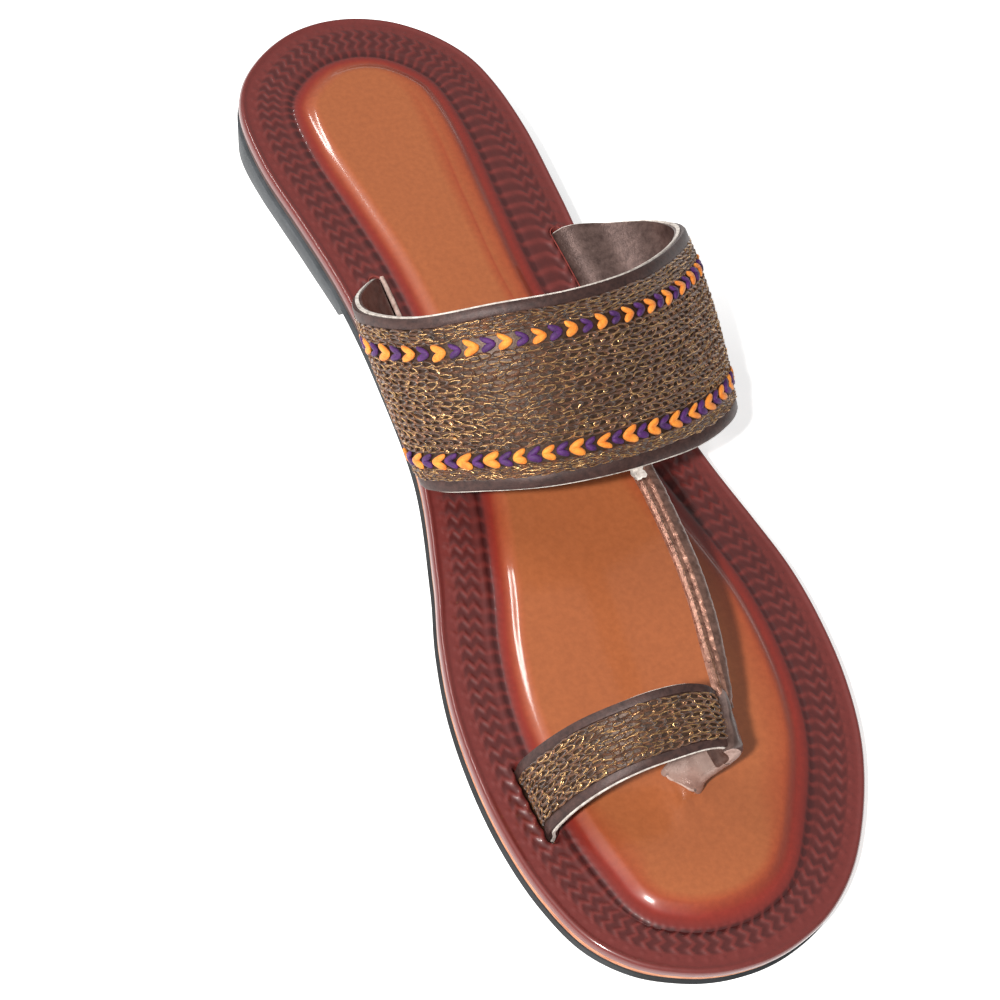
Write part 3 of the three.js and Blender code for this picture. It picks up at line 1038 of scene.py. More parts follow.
class StrapSurface:
    """Outer face of a strap between two edge curves, t along it and w across it."""

    crown_reach = 0.2
    small = 4e-3

    def __init__(self, heel: SmoothCurve, toe: SmoothCurve, crown: float, spread: float) -> None:
        """Keep the two edges.

        Args:
            heel: Heel-side edge.
            toe: Toe-side edge.
            crown: Bulge between the edges, in the free part.
            spread: Half spread that tilts the bulge outward.
        """
        self.heel = heel
        self.toe = toe
        self.crown = crown
        self.spread = spread
        self.width = float(np.linalg.norm(heel.at(0.5) - toe.at(0.5)))
        self.length = (heel.length + toe.length) / 2

    def point(self, t: Array, w: Array) -> Array:
        """Points on the surface.

        Args:
            t: Shares along.
            w: Shares across, of the same shape.

        Returns:
            Points.
        """
        t, w = np.broadcast_arrays(np.asarray(t, float), np.asarray(w, float))
        p = self.heel.at(t) * (1 - w[..., None]) + self.toe.at(t) * w[..., None]
        if self.crown:
            free = ease(t / self.crown_reach) * ease((1 - t) / self.crown_reach)
            out = np.stack([p[..., 0] / self.spread, 0 * t, np.ones_like(t)], axis=-1)
            p = p + unit(out) * (self.crown * free * np.sin(np.pi * w))[..., None]
        return p

    def frame(self, t: Array, w: Array) -> tuple[Array, Array, Array, Array]:
        """Points with directions.

        Args:
            t: Shares along.
            w: Shares across.

        Returns:
            Points, directions along, directions across and outward normals.
        """
        small = self.small
        t, w = np.broadcast_arrays(np.asarray(t, float), np.asarray(w, float))
        tc, wc = np.clip(t, small, 1 - small), np.clip(w, small, 1 - small)
        along = unit(self.point(tc + small, wc) - self.point(tc - small, wc))
        across = unit(self.point(tc, wc + small) - self.point(tc, wc - small))
        return self.point(t, w), along, across, unit(np.cross(across, along))


def wall(
    surface: StrapSurface,
    ts: Array,
    ws: Array,
    top: Array | float,
    bottom: Array | float,
    floor: Callable[[Array], Array] | None = None,
) -> tuple[Array, Array, Array]:
    """A closed wall that follows a strap.

    Args:
        surface: Strap to follow.
        ts: Shares along.
        ws: Shares across.
        top: Offset of the outer face along the normal.
        bottom: Offset of the inner face.
        floor: Lowest height at each place along the sole, or None.

    Returns:
        Vertices, quads and UVs.
    """
    t, w = np.meshgrid(ts, ws, indexing="ij")
    p, _, _, n = surface.frame(t, w)
    both = [p + n * np.broadcast_to(offset, t.shape)[..., None] for offset in (top, bottom)]
    vertices = np.stack(both)
    if floor is not None:
        vertices[..., 2] = np.maximum(vertices[..., 2], floor(vertices[..., 1]))
    rows, cols = t.shape
    base = rows * cols
    grid = grid_faces(rows, cols)
    i = np.arange(rows - 1)
    j = np.arange(cols - 1)
    left, right = i * cols, i * cols + cols - 1
    end = (rows - 1) * cols + j
    faces = [
        grid,
        grid[:, ::-1] + base,
        np.stack([left, left + cols, left + cols + base, left + base], 1),
        np.stack([right + cols, right, right + base, right + cols + base], 1),
        np.stack([j + 1, j, j + base, j + 1 + base], 1),
        np.stack([end, end + 1, end + 1 + base, end + base], 1),
    ]
    uv = np.stack([t, w], axis=-1).reshape(-1, 2)
    return vertices.reshape(-1, 3), np.vstack(faces), np.vstack([uv, uv])


def tube(path: Array, radius: float, sides: int, closed: bool) -> tuple[Array, Array]:
    """A small tube along a flat path, with its thickness upright.

    Args:
        path: Points as along, across and up.
        radius: Thread radius.
        sides: Sides of the section.
        closed: Whether the path is a ring.

    Returns:
        Vertices and quads.
    """
    if closed:
        run = np.roll(path, -1, 0) - np.roll(path, 1, 0)
    else:
        run = np.gradient(path, axis=0)
    run = unit(run)
    up = np.array([0.0, 0.0, 1.0])
    side = unit(np.cross(run, up))
    lift = unit(np.cross(side, run))
    angles = np.arange(sides) / sides * 2 * np.pi
    ring = side[:, None] * np.cos(angles)[None, :, None]
    ring = ring + lift[:, None] * np.sin(angles)[None, :, None]
    vertices = path[:, None] + radius * ring
    faces = grid_faces(len(path), sides, wrap=True)
    if closed:
        last = (len(path) - 1) * sides
        k = np.arange(sides)
        n = (k + 1) % sides
        faces = np.vstack([faces, np.stack([last + k, last + n, n, k], 1)])
    return vertices.reshape(-1, 3), faces


@dataclass(frozen=True)
class StitchSizes:
    """Chain stitch: one link of thread with a thin gold strand over it."""

    length: float = 3.0
    spacing: float = 2.35
    thread: float = 0.25
    strand: float = 0.085
    lift: float = 0.22
    strands: int = 2
    taper: float = 0.3
    nose: float = 0.12
    slip: float = 0.14
    stray: float = 0.16
    turn: float = 0.2
    least: float = 0.9
    most: float = 1.14
    strand_share: float = 0.8
    strand_turn: float = 0.3
    thread_points: int = 9
    strand_points: int = 12


class Stitches:
    """Rows of chain stitch laid on a strap."""

    strand_parts = (4, 5, 6, 8)

    def __init__(self, surface: StrapSurface, sizes: StitchSizes, rng: random.Random) -> None:
        """Prepare the stitch.

        Args:
            surface: Strap to sew on.
            sizes: Sizes of one link.
            rng: Seeded random source.
        """
        self.surface = surface
        self.sizes = sizes
        self.rng = rng
        self.thread = MeshParts()
        self.gold = MeshParts()

    def _link(self, width: float, segments: int, grow: float, lift: float) -> Array:
        """Path of one link.

        Args:
            width: Width of the link.
            segments: Points of the path.
            grow: Scale of the outline.
            lift: Height above the strap.

        Returns:
            Points as along, across and up.
        """
        turn = np.arange(segments) / segments * 2 * np.pi
        along = 0.5 * self.sizes.length * np.cos(turn)
        across = 0.5 * width * np.sin(turn) * (1 - self.sizes.taper * np.cos(turn))
        up = lift + self.sizes.nose * np.cos(turn)
        return np.stack([along * grow, across * grow, up], axis=1)

    def _set(self, parts: MeshParts, shape: tuple, place: tuple, turn: float, size: float) -> None:
        """Place a shape on the strap.

        Args:
            parts: Where to add it.
            shape: Vertices and faces in local axes.
            place: Shares along and across.
            turn: Rotation in the surface.
            size: Scale.
        """
        vertices, faces = shape
        p, along, across, normal = self.surface.frame(*place)
        ca, sa = math.cos(turn), math.sin(turn)
        x, y = vertices[:, 0] * size, vertices[:, 1] * size
        a, b = ca * x - sa * y, sa * x + ca * y
        side = np.cross(normal, along)
        points = p + a[:, None] * along + b[:, None] * side + vertices[:, 2:] * normal
        parts.add(points, faces)

    def row(self, w: float, start: float, end: float, width: float) -> None:
        """Sew one row.

        Args:
            w: Share across the strap.
            start: First share along.
            end: Last share along.
            width: Width of the links.
        """
        s, draw = self.sizes, self.rng.uniform
        count = int((end - start) * self.surface.length / s.spacing)
        thread = tube(self._link(width, s.thread_points, 1.0, s.lift), s.thread, 4, True)
        shift = self.rng.random()
        for k in range(count):
            t = start + (k + shift + draw(-s.slip, s.slip)) / count * (end - start)
            place = (min(t, end), w + draw(-s.stray, s.stray) / self.surface.width)
            turn = draw(-s.turn, s.turn)
            size = draw(s.least, s.most)
            self._set(self.thread, thread, place, turn, size)
            for _ in range(s.strands):
                if self.rng.random() < s.strand_share:
                    self._gold(width, place, turn + draw(-s.strand_turn, s.strand_turn), size)

    def _gold(self, width: float, place: tuple, turn: float, size: float) -> None:
        """Lay a part of the gold strand of one link.

        Args:
            width: Width of the link.
            place: Shares along and across.
            turn: Rotation in the surface.
            size: Scale.
        """
        top = self.sizes.lift + self.sizes.thread * 0.8
        path = self._link(width, self.sizes.strand_points, 1.02, top)
        path[:, 2] += np.array([self.rng.uniform(-0.12, 0.12) for _ in path])
        path[:, 0] += self.rng.uniform(-0.3, 0.3)
        path[:, 1] *= self.rng.uniform(0.5, 1.15)
        first = self.rng.randrange(self.sizes.strand_points)
        kept = self.rng.choice(self.strand_parts)
        path = np.roll(path, first, 0)[:kept]
        self._set(self.gold, tube(path, self.sizes.strand, 3, False), place, turn, size)


@dataclass(frozen=True)
class StrapSizes:
    """Sizes shared by the straps and their layers."""

    half_spread: float = 41.0
    heel_rise: float = 39.5
    toe_rise: float = 23.0
    heel_lean: float = 40.0
    toe_lean: float = 27.0
    crown: float = 1.4
    heel_end: float = 47.0
    outer_heel_end: float = 53.0
    slit: float = 45.0
    inset_inner: float = 7.0
    inset_outer: float = 4.6
    wall: float = 2.2
    margin: float = 2.6
    ribbon: float = 3.5
    ribbons: tuple = (0.21, 0.83)
    spare: float = 1.5
    loop_place: float = -72.0
    loop_width: float = 16.0
    loop_span: float = 36.0
    loop_rise: float = 25.5
    loop_skew: float = 0.8
    loop_wall: float = 1.8
    loop_inset: float = 8.3
    loop_margin: float = 1.9
    loop_field: float = 0.66
    post_reach: float = 33.5
    post_slit: float = 7.5
    link_width: float = 5.4
    link_thick: float = 1.6
    link_arch: float = 3.4
    link_sway: float = 0.8
    link_tuck: float = 9.0
    link_place: float = 0.518
    link_turn: float = 0.675
    link_landing: float = 0.27
    link_shift: float = 1.3
    link_twist: float = 0.5
    link_twist_start: float = 0.7
    link_narrow: float = 0.5
    link_narrow_start: float = 0.94
    scrap_start: float = 0.13
    scrap_end: float = 0.2
    post_toe: float = 0.16
    floor_lift: float = 0.1
    sleeve_start: float = 0.655
    sleeve_end: float = 0.75
    sleeve_wall: float = 1.3
    sleeve_overhang: float = 1.1
    sleeve_swell: float = 0.9
    sleeve_hang: float = 0.03
    stitch_rise: float = 0.5


class StrapShapes:
    """Works out the surfaces of band, toe loop and connecting strap."""

    def __init__(self, sole: SoleSizes, outline: Outline, sizes: StrapSizes) -> None:
        """Work out all surfaces.

        Args:
            sole: Sizes of the sole.
            outline: Plan outline.
            sizes: Sizes of the straps.
        """
        self.sole = sole
        self.outline = outline
        self.sizes = sizes
        self.band = self._band()
        self.loop = self._loop()
        self.link = self._link()

    def floor(self, y: Array) -> Array:
        """Lowest height of a strap end.

        Args:
            y: Places along the sole.

        Returns:
            Heights.
        """
        return self.sole.sole_top(y) + self.sole.gap + self.sizes.floor_lift

    def _edge(self, points: list) -> SmoothCurve:
        """Edge curve with both ends straight down through the slits.

        Args:
            points: Points from slit to slit.

        Returns:
            The curve.
        """
        ends = []
        for x, y, _ in (points[0], points[-1]):
            low = self.sole.sole_top(y) + self.sole.gap - self.sizes.spare
            ends.append((x, y, float(low)))
        return SmoothCurve([ends[0], *points, ends[1]])

    def _slit_point(self, side: Side, y: float, inset: float) -> tuple:
        """A slit's end on the cover.

        Args:
            side: Edge of the sole.
            y: Place along.
            inset: Distance from the edge.

        Returns:
            The point.
        """
        x = float(self.outline.edge_x(y, side)) - side.value * inset
        return (x, y, float(self.sole.cover_top(y)))

    def _band(self) -> StrapSurface:
        """Surface of the instep band.

        Returns:
            The surface.
        """
        s = self.sizes
        curves = []
        for k, rise, lean in ((0, s.heel_rise, s.heel_lean), (3, s.toe_rise, s.toe_lean)):
            back = 0.0 if k == 0 else s.slit
            start = self._slit_point(Side.INNER, s.heel_end - back, s.inset_inner)
            end = self._slit_point(Side.OUTER, s.outer_heel_end - back, s.inset_outer)
            base, middle = (start[2] + end[2]) / 2, (start[1] + end[1]) / 2
            rows = [
                (r[k] * s.half_spread, middle - r[k + 2] * lean, base + r[k + 1] * rise)
                for r in BAND_ROWS
            ]
            curves.append(self._edge([start, *rows, end]))
        return StrapSurface(curves[0], curves[1], s.crown, s.half_spread)

    def _loop(self) -> StrapSurface:
        """Surface of the toe loop and its post.

        Returns:
            The surface.
        """
        s = self.sizes
        toe_y = s.loop_place - s.loop_width
        start = self._slit_point(Side.INNER, s.loop_place, s.loop_inset)
        toe_start = self._slit_point(Side.INNER, toe_y, s.loop_inset)
        x0, pad = start[0], self.sole.pad_rise
        heel, toe = [start], [toe_start]
        for across, heel_up, toe_up, heel_in, toe_in in LOOP_ROWS:
            x = x0 + across * s.loop_span
            lift = pad * across
            y = s.loop_place - heel_in * s.loop_width
            heel.append((x, y, start[2] + lift + heel_up * s.loop_rise))
            y = toe_y + toe_in * s.loop_width
            toe.append((x + s.loop_skew, y, toe_start[2] + lift + toe_up * s.loop_rise))
        post_y = toe_y + s.post_toe * s.loop_width
        slant = s.post_slit * math.sqrt(0.5)
        top = float(self.sole.cover_top(post_y)) + pad
        heel.append((x0 + s.post_reach - slant / 2, post_y + slant, top))
        toe.append((x0 + s.post_reach + slant / 2, post_y, top))
        return StrapSurface(self._edge(heel), self._edge(toe), 0.0, 1.0)

    def _link(self) -> StrapSurface:
        """Surface of the connecting strap.

        Returns:
            The surface.
        """
        s = self.sizes
        under = []
        for w in (1 - s.link_tuck / self.band.width, 1.0):
            p, _, _, n = self.band.frame(s.link_place, w)
            under.append(p - n * (s.wall - s.stitch_rise))
        p, sleeve_run, _, normal = self.loop.frame(s.link_turn, s.link_landing)
        lift = s.sleeve_wall + s.sleeve_swell + s.link_thick - s.stitch_rise
        end = p + normal * lift
        end[0] -= s.link_shift
        between = []
        for share in (0.12, 0.5, 0.82):
            point = under[1] * (1 - share) + end * share
            arch = math.sin(math.pi * share)
            between.append(point + np.array([s.link_sway * arch, 0.0, s.link_arch * arch]))
        curve = SmoothCurve([*under, *between, end])
        shares = np.linspace(0, 1, 60)
        middle = curve.at(shares)
        twisted = ease((shares - s.link_twist_start) / (1 - s.link_twist_start))
        turn = s.link_twist * twisted[:, None]
        side = unit(np.array([1.0, 0, 0]) * (1 - turn) + sleeve_run * turn) * s.link_width / 2
        narrowed = ease((shares - s.link_narrow_start) / (1 - s.link_narrow_start))
        side = side * (1 - s.link_narrow * narrowed)[:, None]
        heel, toe = (SmoothCurve(middle + way * side, samples=4) for way in (1, -1))
        return StrapSurface(heel, toe, 0.0, 1.0)


class Sole:
    """Outsole, insole board and embossed cover."""

    ring_points = 1500
    plain_points = 420
    rim_insets = (0.8, 11.3, 0.42)
    pad_insets = (11.6, 19.6, 0.5)
    fit_start = 9.0
    fit_reach = 3.4
    pad_rings = 12
    pad_span = (19.5, 14.0)
    fill = 0.9

    def __init__(self, sizes: SoleSizes, outline: Outline, straps: StrapShapes) -> None:
        """Keep the shapes.

        Args:
            sizes: Sizes of the sole.
            outline: Plan outline.
            straps: Strap surfaces, for the slits.
        """
        self.sizes = sizes
        self.outline = outline
        self.straps = straps
        self.emboss = EmbossSizes()
        self.slits = SlitSizes()

    def _slits(self) -> list[tuple[Array, Array, float]]:
        """Middle lines of the slits on the cover.

        Returns:
            Start, end and half width of each.
        """
        s = self.straps.sizes
        lines = []
        for surface, thick in ((self.straps.band, s.wall), (self.straps.loop, s.loop_wall)):
            for end in (0, -1):
                a = surface.heel.points[end]
                b = surface.toe.points[end]
                _, _, _, n = surface.frame(0.01 if end == 0 else 0.99, 0.5)
                inner = unit(n[:2]) * -thick / 2
                half = thick / 2 + self.slits.clearance
                lines.append((a[:2] + inner, b[:2] + inner, half))
        return lines

    def slit_relief(self, points: Array) -> Array:
        """Change in height near the slits: a drop inside and a soft lip around.

        Args:
            points: Plan points.

        Returns:
            Height changes.
        """
        s = self.slits
        change = np.zeros(len(points))
        *cut, (post_a, post_b, _) = self._slits()
        from_post = np.linalg.norm(points - (post_a + post_b) / 2, axis=1)
        change += s.post_rise * np.exp(-((from_post / s.post_reach) ** 2))
        for a, b, half in cut:
            run = b - a
            share = np.clip((points - a) @ run / (run @ run), 0, 1)
            away = np.linalg.norm(points - (a + share[:, None] * run), axis=1) - half
            change -= s.depth * ease((s.overlap - away) / s.drop_run)
            change += s.lip * np.exp(-(((away - s.lip_place) / s.lip_reach) ** 2))
        return change

    def border(self, points: Array) -> Array:
        """Width of the embossed border.

        Args:
            points: Points on the edge.

        Returns:
            Widths.
        """
        s = self.sizes
        share = (0.5 - points[:, 1] / s.length - s.waist) / s.waist_reach
        extra = s.border_extra * np.exp(-(share**2))
        tip = s.border_tip * np.exp(-(((points[:, 1] + s.length / 2) / s.tip_reach) ** 2))
        outer = ease((points[:, 0] + s.middle_half) / (2 * s.middle_half))
        return s.border + extra * outer - tip

    def _emboss(self, arc: Array, inset: float) -> Array:
        """Zigzag ridges of the border.

        Args:
            arc: Arc lengths along the edge.
            inset: Distance in from the edge.

        Returns:
            Relief from 0 to 1.
        """
        e = self.emboss
        pitch = self.outline.curve.length / round(self.outline.curve.length / e.pitch)
        tooth = abs(((inset - e.tooth_start) / e.tooth) % 1.0 - 0.5) * 2
        phase = ((arc - e.lean * tooth) / pitch) % 1.0
        crest = (0.5 + 0.5 * np.cos(2 * np.pi * phase**e.skew)) ** e.crest
        return crest * e.marked(inset)

    def _tan_reach(self, points: Array) -> Array:
        """Distance over which the colour turns from red to tan.

        Args:
            points: Points on the edge.

        Returns:
            Distances.
        """
        toe = ease((-points[:, 1] - 60) / 60)
        outer = ease((points[:, 0] + 10) / 40)
        return 7.0 + 5.0 * toe + 5.0 * outer * (1 - toe)

    def cover(self, finishes: Finishes) -> Piece:
        """Build the embossed cover.

        Args:
            finishes: Materials.

        Returns:
            The piece.
        """
        s = self.sizes
        points, inward, arc = self.outline.ring(self.ring_points)
        width = self.border(points)
        reach = self._tan_reach(points)
        rim = [(0.0, -s.cover), *RIM_ROWS]
        rows = [(np.full(len(arc), d), np.full(len(arc), z)) for d, z in rim]
        for inset in [*np.arange(*self.rim_insets), *np.arange(*self.pad_insets)]:
            fitted = ease((inset - self.fit_start) / self.fit_reach)
            d = inset * (1 + (width / s.border - 1) * fitted)
            rows.append((d, self._profile(arc, d, inset, width)))
        vertices, uvs = [], []
        for d, relief in rows:
            plan = points + inward * d[:, None]
            z = s.cover_top(plan[:, 1]) + relief
            if d.max() > 0.5:
                z = z + self.slit_relief(plan)
            vertices.append(np.column_stack([plan, z]))
            inset = float(d.min())
            uvs.append(self._shade(arc, d, inset, width, reach))
        outer_ring = vertices[-1][:, :2]
        spine = self.outline.spine(points)
        first, span = self.pad_span
        for share in np.arange(1, self.pad_rings + 1) / self.pad_rings:
            plan = outer_ring * (1 - share) + spine * share
            z = s.cover_top(plan[:, 1]) + s.pad_rise + self._pad(plan) + self.slit_relief(plan)
            vertices.append(np.column_stack([plan, z]))
            d = first + span * share
            uvs.append(self._shade(arc, np.full(len(arc), d), d, width, reach))
        parts = MeshParts()
        faces = grid_faces(len(vertices), len(arc), wrap=True)
        parts.add(np.vstack(vertices), faces, np.vstack(uvs))
        piece = Piece("footbed_cover", parts, [finishes.cover], "footbed", Slot.COVER, 80.0)
        return piece

    def _profile(self, arc: Array, d: Array, inset: float, width: Array) -> Array:
        """Height of the cover above its border level.

        Args:
            arc: Arc lengths.
            d: Insets.
            inset: Nominal inset.
            width: Border widths.

        Returns:
            Height changes.
        """
        e, past = self.emboss, d - width
        rim = e.rim_rise - e.rim_drop * ease((inset - e.rim_end) / e.rim_end)
        ridges = e.ridge * (1 - e.ridge_loss * inset) * self._emboss(arc, inset)
        at_beads = math.exp(-(((inset - e.bead_place) / e.bead_reach) ** 2))
        beads = e.bead * np.cos(arc * np.pi / e.pitch) ** 8 * at_beads
        shelf = e.shelf * ease((inset - e.shelf_start) / e.shelf_reach)
        groove = -e.groove * np.exp(-(((past + e.groove_place) / e.groove_reach) ** 2))
        at_pearls = np.exp(-(((past - e.pearl_place) / e.pearl_reach) ** 2))
        pearls = e.pearl * np.sin(arc * 2 * np.pi / e.pearl_pitch) * at_pearls
        foot = e.foot_rise * ease(past / e.foot_reach)
        roll = (self.sizes.pad_rise - e.roll_less) * ease((past - e.roll_start) / e.roll_reach)
        return rim + ridges + beads + shelf + groove + pearls + foot + roll

    def _pad(self, plan: Array) -> Array:
        """Soft dips and bumps of the pad.

        Args:
            plan: Plan points.

        Returns:
            Height changes.
        """
        x, y = plan[:, 0], plan[:, 1]
        level = np.full(len(plan), PAD_LIFT)
        for across, along, wide, long, height in PAD_FORMS:
            level += height * np.exp(-(((x - across) / wide) ** 2) - ((y - along) / long) ** 2)
        return level

    def _shade(self, arc: Array, d: Array, inset: float, width: Array, reach: Array) -> Array:
        """Colour coordinates: painted shade of the emboss valleys and the groove across, and
        border to tan up.

        Args:
            arc: Arc lengths.
            d: Insets.
            inset: Nominal inset.
            width: Border widths.
            reach: Distance from red to tan.

        Returns:
            UV pairs.
        """
        relief = self._emboss(arc, inset)
        inside = self.emboss.marked(inset)
        # Painted shade: U falls in the emboss valleys and in the groove at the pad's foot.
        groove = 0.5 * np.exp(-(((d - width + self.emboss.groove_place) / 0.6) ** 2))
        u = 1.0 - inside * (1 - relief) * 0.75 - groove
        v = 0.3 * np.clip(d / width, 0, 1) ** 3 + 0.55 * np.clip((d - width) / reach, 0, 1)
        return np.stack([u, v], axis=1)

    def board(self, finishes: Finishes) -> Piece:
        """Build the insole board, whose cut edge shows.

        Args:
            finishes: Materials.

        Returns:
            The piece.
        """
        s = self.sizes
        inset = s.board_inset
        top = s.board_top
        rows = [
            (inset + 2.0, 0.0, lambda y: top(y) - s.board),
            (inset + 0.1, 0.0, lambda y: top(y) - s.board),
            (inset, 0.0, lambda y: top(y) - s.board + 0.25),
            (inset, 0.0, lambda y: top(y) - 0.25),
            (inset + 0.1, 0.0, top),
            (inset + 2.0, 0.0, top),
        ]
        return self._layer("board_layer", rows, finishes.board, "insole_board", Slot.BOARD)

    def outsole(self, finishes: Finishes) -> Piece:
        """Build the outsole with its side groove and rounded lower edge.

        Args:
            finishes: Materials.

        Returns:
            The piece.
        """
        s = self.sizes
        low = s.sole_inset - s.sole_flare
        side = s.sole_inset
        rows = [
            (14.0, 1.0, s.sole_under),
            (low + 1.6, 1.0, s.sole_under),
            (low + 0.5, 1.0, lambda y: s.sole_under(y) + 0.08),
            (low + 0.12, 1.0, lambda y: s.sole_under(y) + 0.26),
            (low, 0.97, lambda y: s.sole_under(y) + 0.6),
            (side, 0.0, lambda y: s.sole_top(y) - 1.15),
            (side + 0.12, 0.0, lambda y: s.sole_top(y) - 0.95),
            (side + 0.7, 0.0, lambda y: s.sole_top(y) - 0.8),
            (side + 0.7, 0.0, s.sole_top),
            (side + 3.0, 0.0, s.sole_top),
        ]
        return self._layer("outsole_rubber", rows, finishes.rubber, "outsole", Slot.OUTSOLE)

    def _layer(
        self, name: str, rows: list, material: bpy.types.Material, node: str, slot: Slot
    ) -> Piece:
        """Build a layer from rings, closed to the spine below and above.

        Args:
            name: Piece name.
            rows: Inset, share of the heel block's taper, and height function.
            material: Material.
            node: CAD node it stands for.
            slot: Material slot.

        Returns:
            The piece.
        """
        points, inward, _ = self.outline.ring(self.plain_points)
        spine = self.outline.spine(points)
        vertices = []
        taper = self.sizes.block_taper(points[:, 1])
        for inset, share, height in rows:
            plan = points + inward * (inset + share * taper)[:, None]
            vertices.append(np.column_stack([plan, height(points[:, 1])]))
        closing = []
        for inset, tapered, height in (rows[0], rows[-1]):
            start = points + inward * (inset + tapered * taper)[:, None]
            extra = []
            for share in (0.25, 0.5, 0.75, 1.0):
                plan = start * (1 - share) + spine * share
                level = points[:, 1] if tapered else plan[:, 1]
                extra.append(np.column_stack([plan, height(level)]))
            closing.append(extra)
        rings = [*closing[0][::-1], *vertices, *closing[1]]
        parts = MeshParts()
        parts.add(np.vstack(rings), grid_faces(len(rings), self.plain_points, wrap=True))
        return Piece(name, parts, [material], node, slot)

    def lips(self, finishes: Finishes) -> Piece:
        """Build the raw cut edges around the slits.

        Args:
            finishes: Materials.

        Returns:
            The piece.
        """
        parts = MeshParts()
        for a, b, half in self._slits()[:2]:
            dense = self._around(a, b, half + self.slits.edge_out)
            on_pad = float(self._pad_level(dense).mean())
            z = self.sizes.cover_top(dense[:, 1]) + on_pad + self.slits.edge_lift
            parts.add(*tube(np.column_stack([dense, z]), self.slits.edge_radius, 6, True))
        # The bare edge is pale, partly as painted highlight.
        parts.add(*self._bare_edge(), slot=1)
        return Piece("slit_edges", parts, [finishes.lip, finishes.rim], "footbed", Slot.COVER)

    @staticmethod
    def _around(a: Array, b: Array, radius: float, count: int = 120) -> Array:
        """Evenly spaced plan points around a slit.

        Args:
            a: One end of the slit's middle line.
            b: The other end.
            radius: Distance from the middle line.
            count: Number of points.

        Returns:
            Plan points of a closed ring.
        """
        run = unit(b - a)
        side = np.array([-run[1], run[0]])
        turn = np.linspace(0, np.pi, 9)
        plan = []
        for centre, angles in ((b, turn - np.pi / 2), (a, turn + np.pi / 2)):
            out = np.cos(angles)[:, None] * run + np.sin(angles)[:, None] * side
            plan.append(centre + radius * out)
        ring = np.vstack(plan)
        steps = np.linalg.norm(np.roll(ring, -1, 0) - ring, axis=1)
        along = np.concatenate([[0], np.cumsum(steps)])
        closed = np.vstack([ring, ring[:1]])
        where = np.arange(count) / count * along[-1]
        return np.stack([np.interp(where, along, closed[:, k]) for k in (0, 1)], 1)

    def _bare_edge(self) -> tuple[Array, Array]:
        """The cover's cut edge that stands up beside the band at the inner heel-side slit, pale
        partly as painted highlight.

        Returns:
            Vertices and quads.
        """
        a, b, half = self._slits()[0]
        run = unit(b - a)
        s = self.slits
        share = np.linspace(s.bare_start, s.bare_end, 24)
        side = np.array([abs(run[1]), -run[0] * np.sign(run[1])])
        plan = a + (b - a) * share[:, None] + side * (half + s.bare_out)
        swell = np.sin(np.pi * (share - share[0]) / (share[-1] - share[0])) ** 0.6
        z = self.sizes.cover_top(plan[:, 1]) + self._pad_level(plan) + s.bare_swell * swell
        return tube(np.column_stack([plan, z]), s.bare_radius, 10, False)

    def _pad_level(self, plan: Array) -> Array:
        """Height of the cover's smooth form above its border level.

        Args:
            plan: Plan points.

        Returns:
            Height changes.
        """
        inner = plan[:, 0] - self.outline.edge_x(plan[:, 1], Side.INNER)
        outer = self.outline.edge_x(plan[:, 1], Side.OUTER) - plan[:, 0]
        d = np.minimum(inner, outer)
        return self.sizes.pad_rise * ease((d - self.sizes.border) / self.sizes.pad_shoulder)


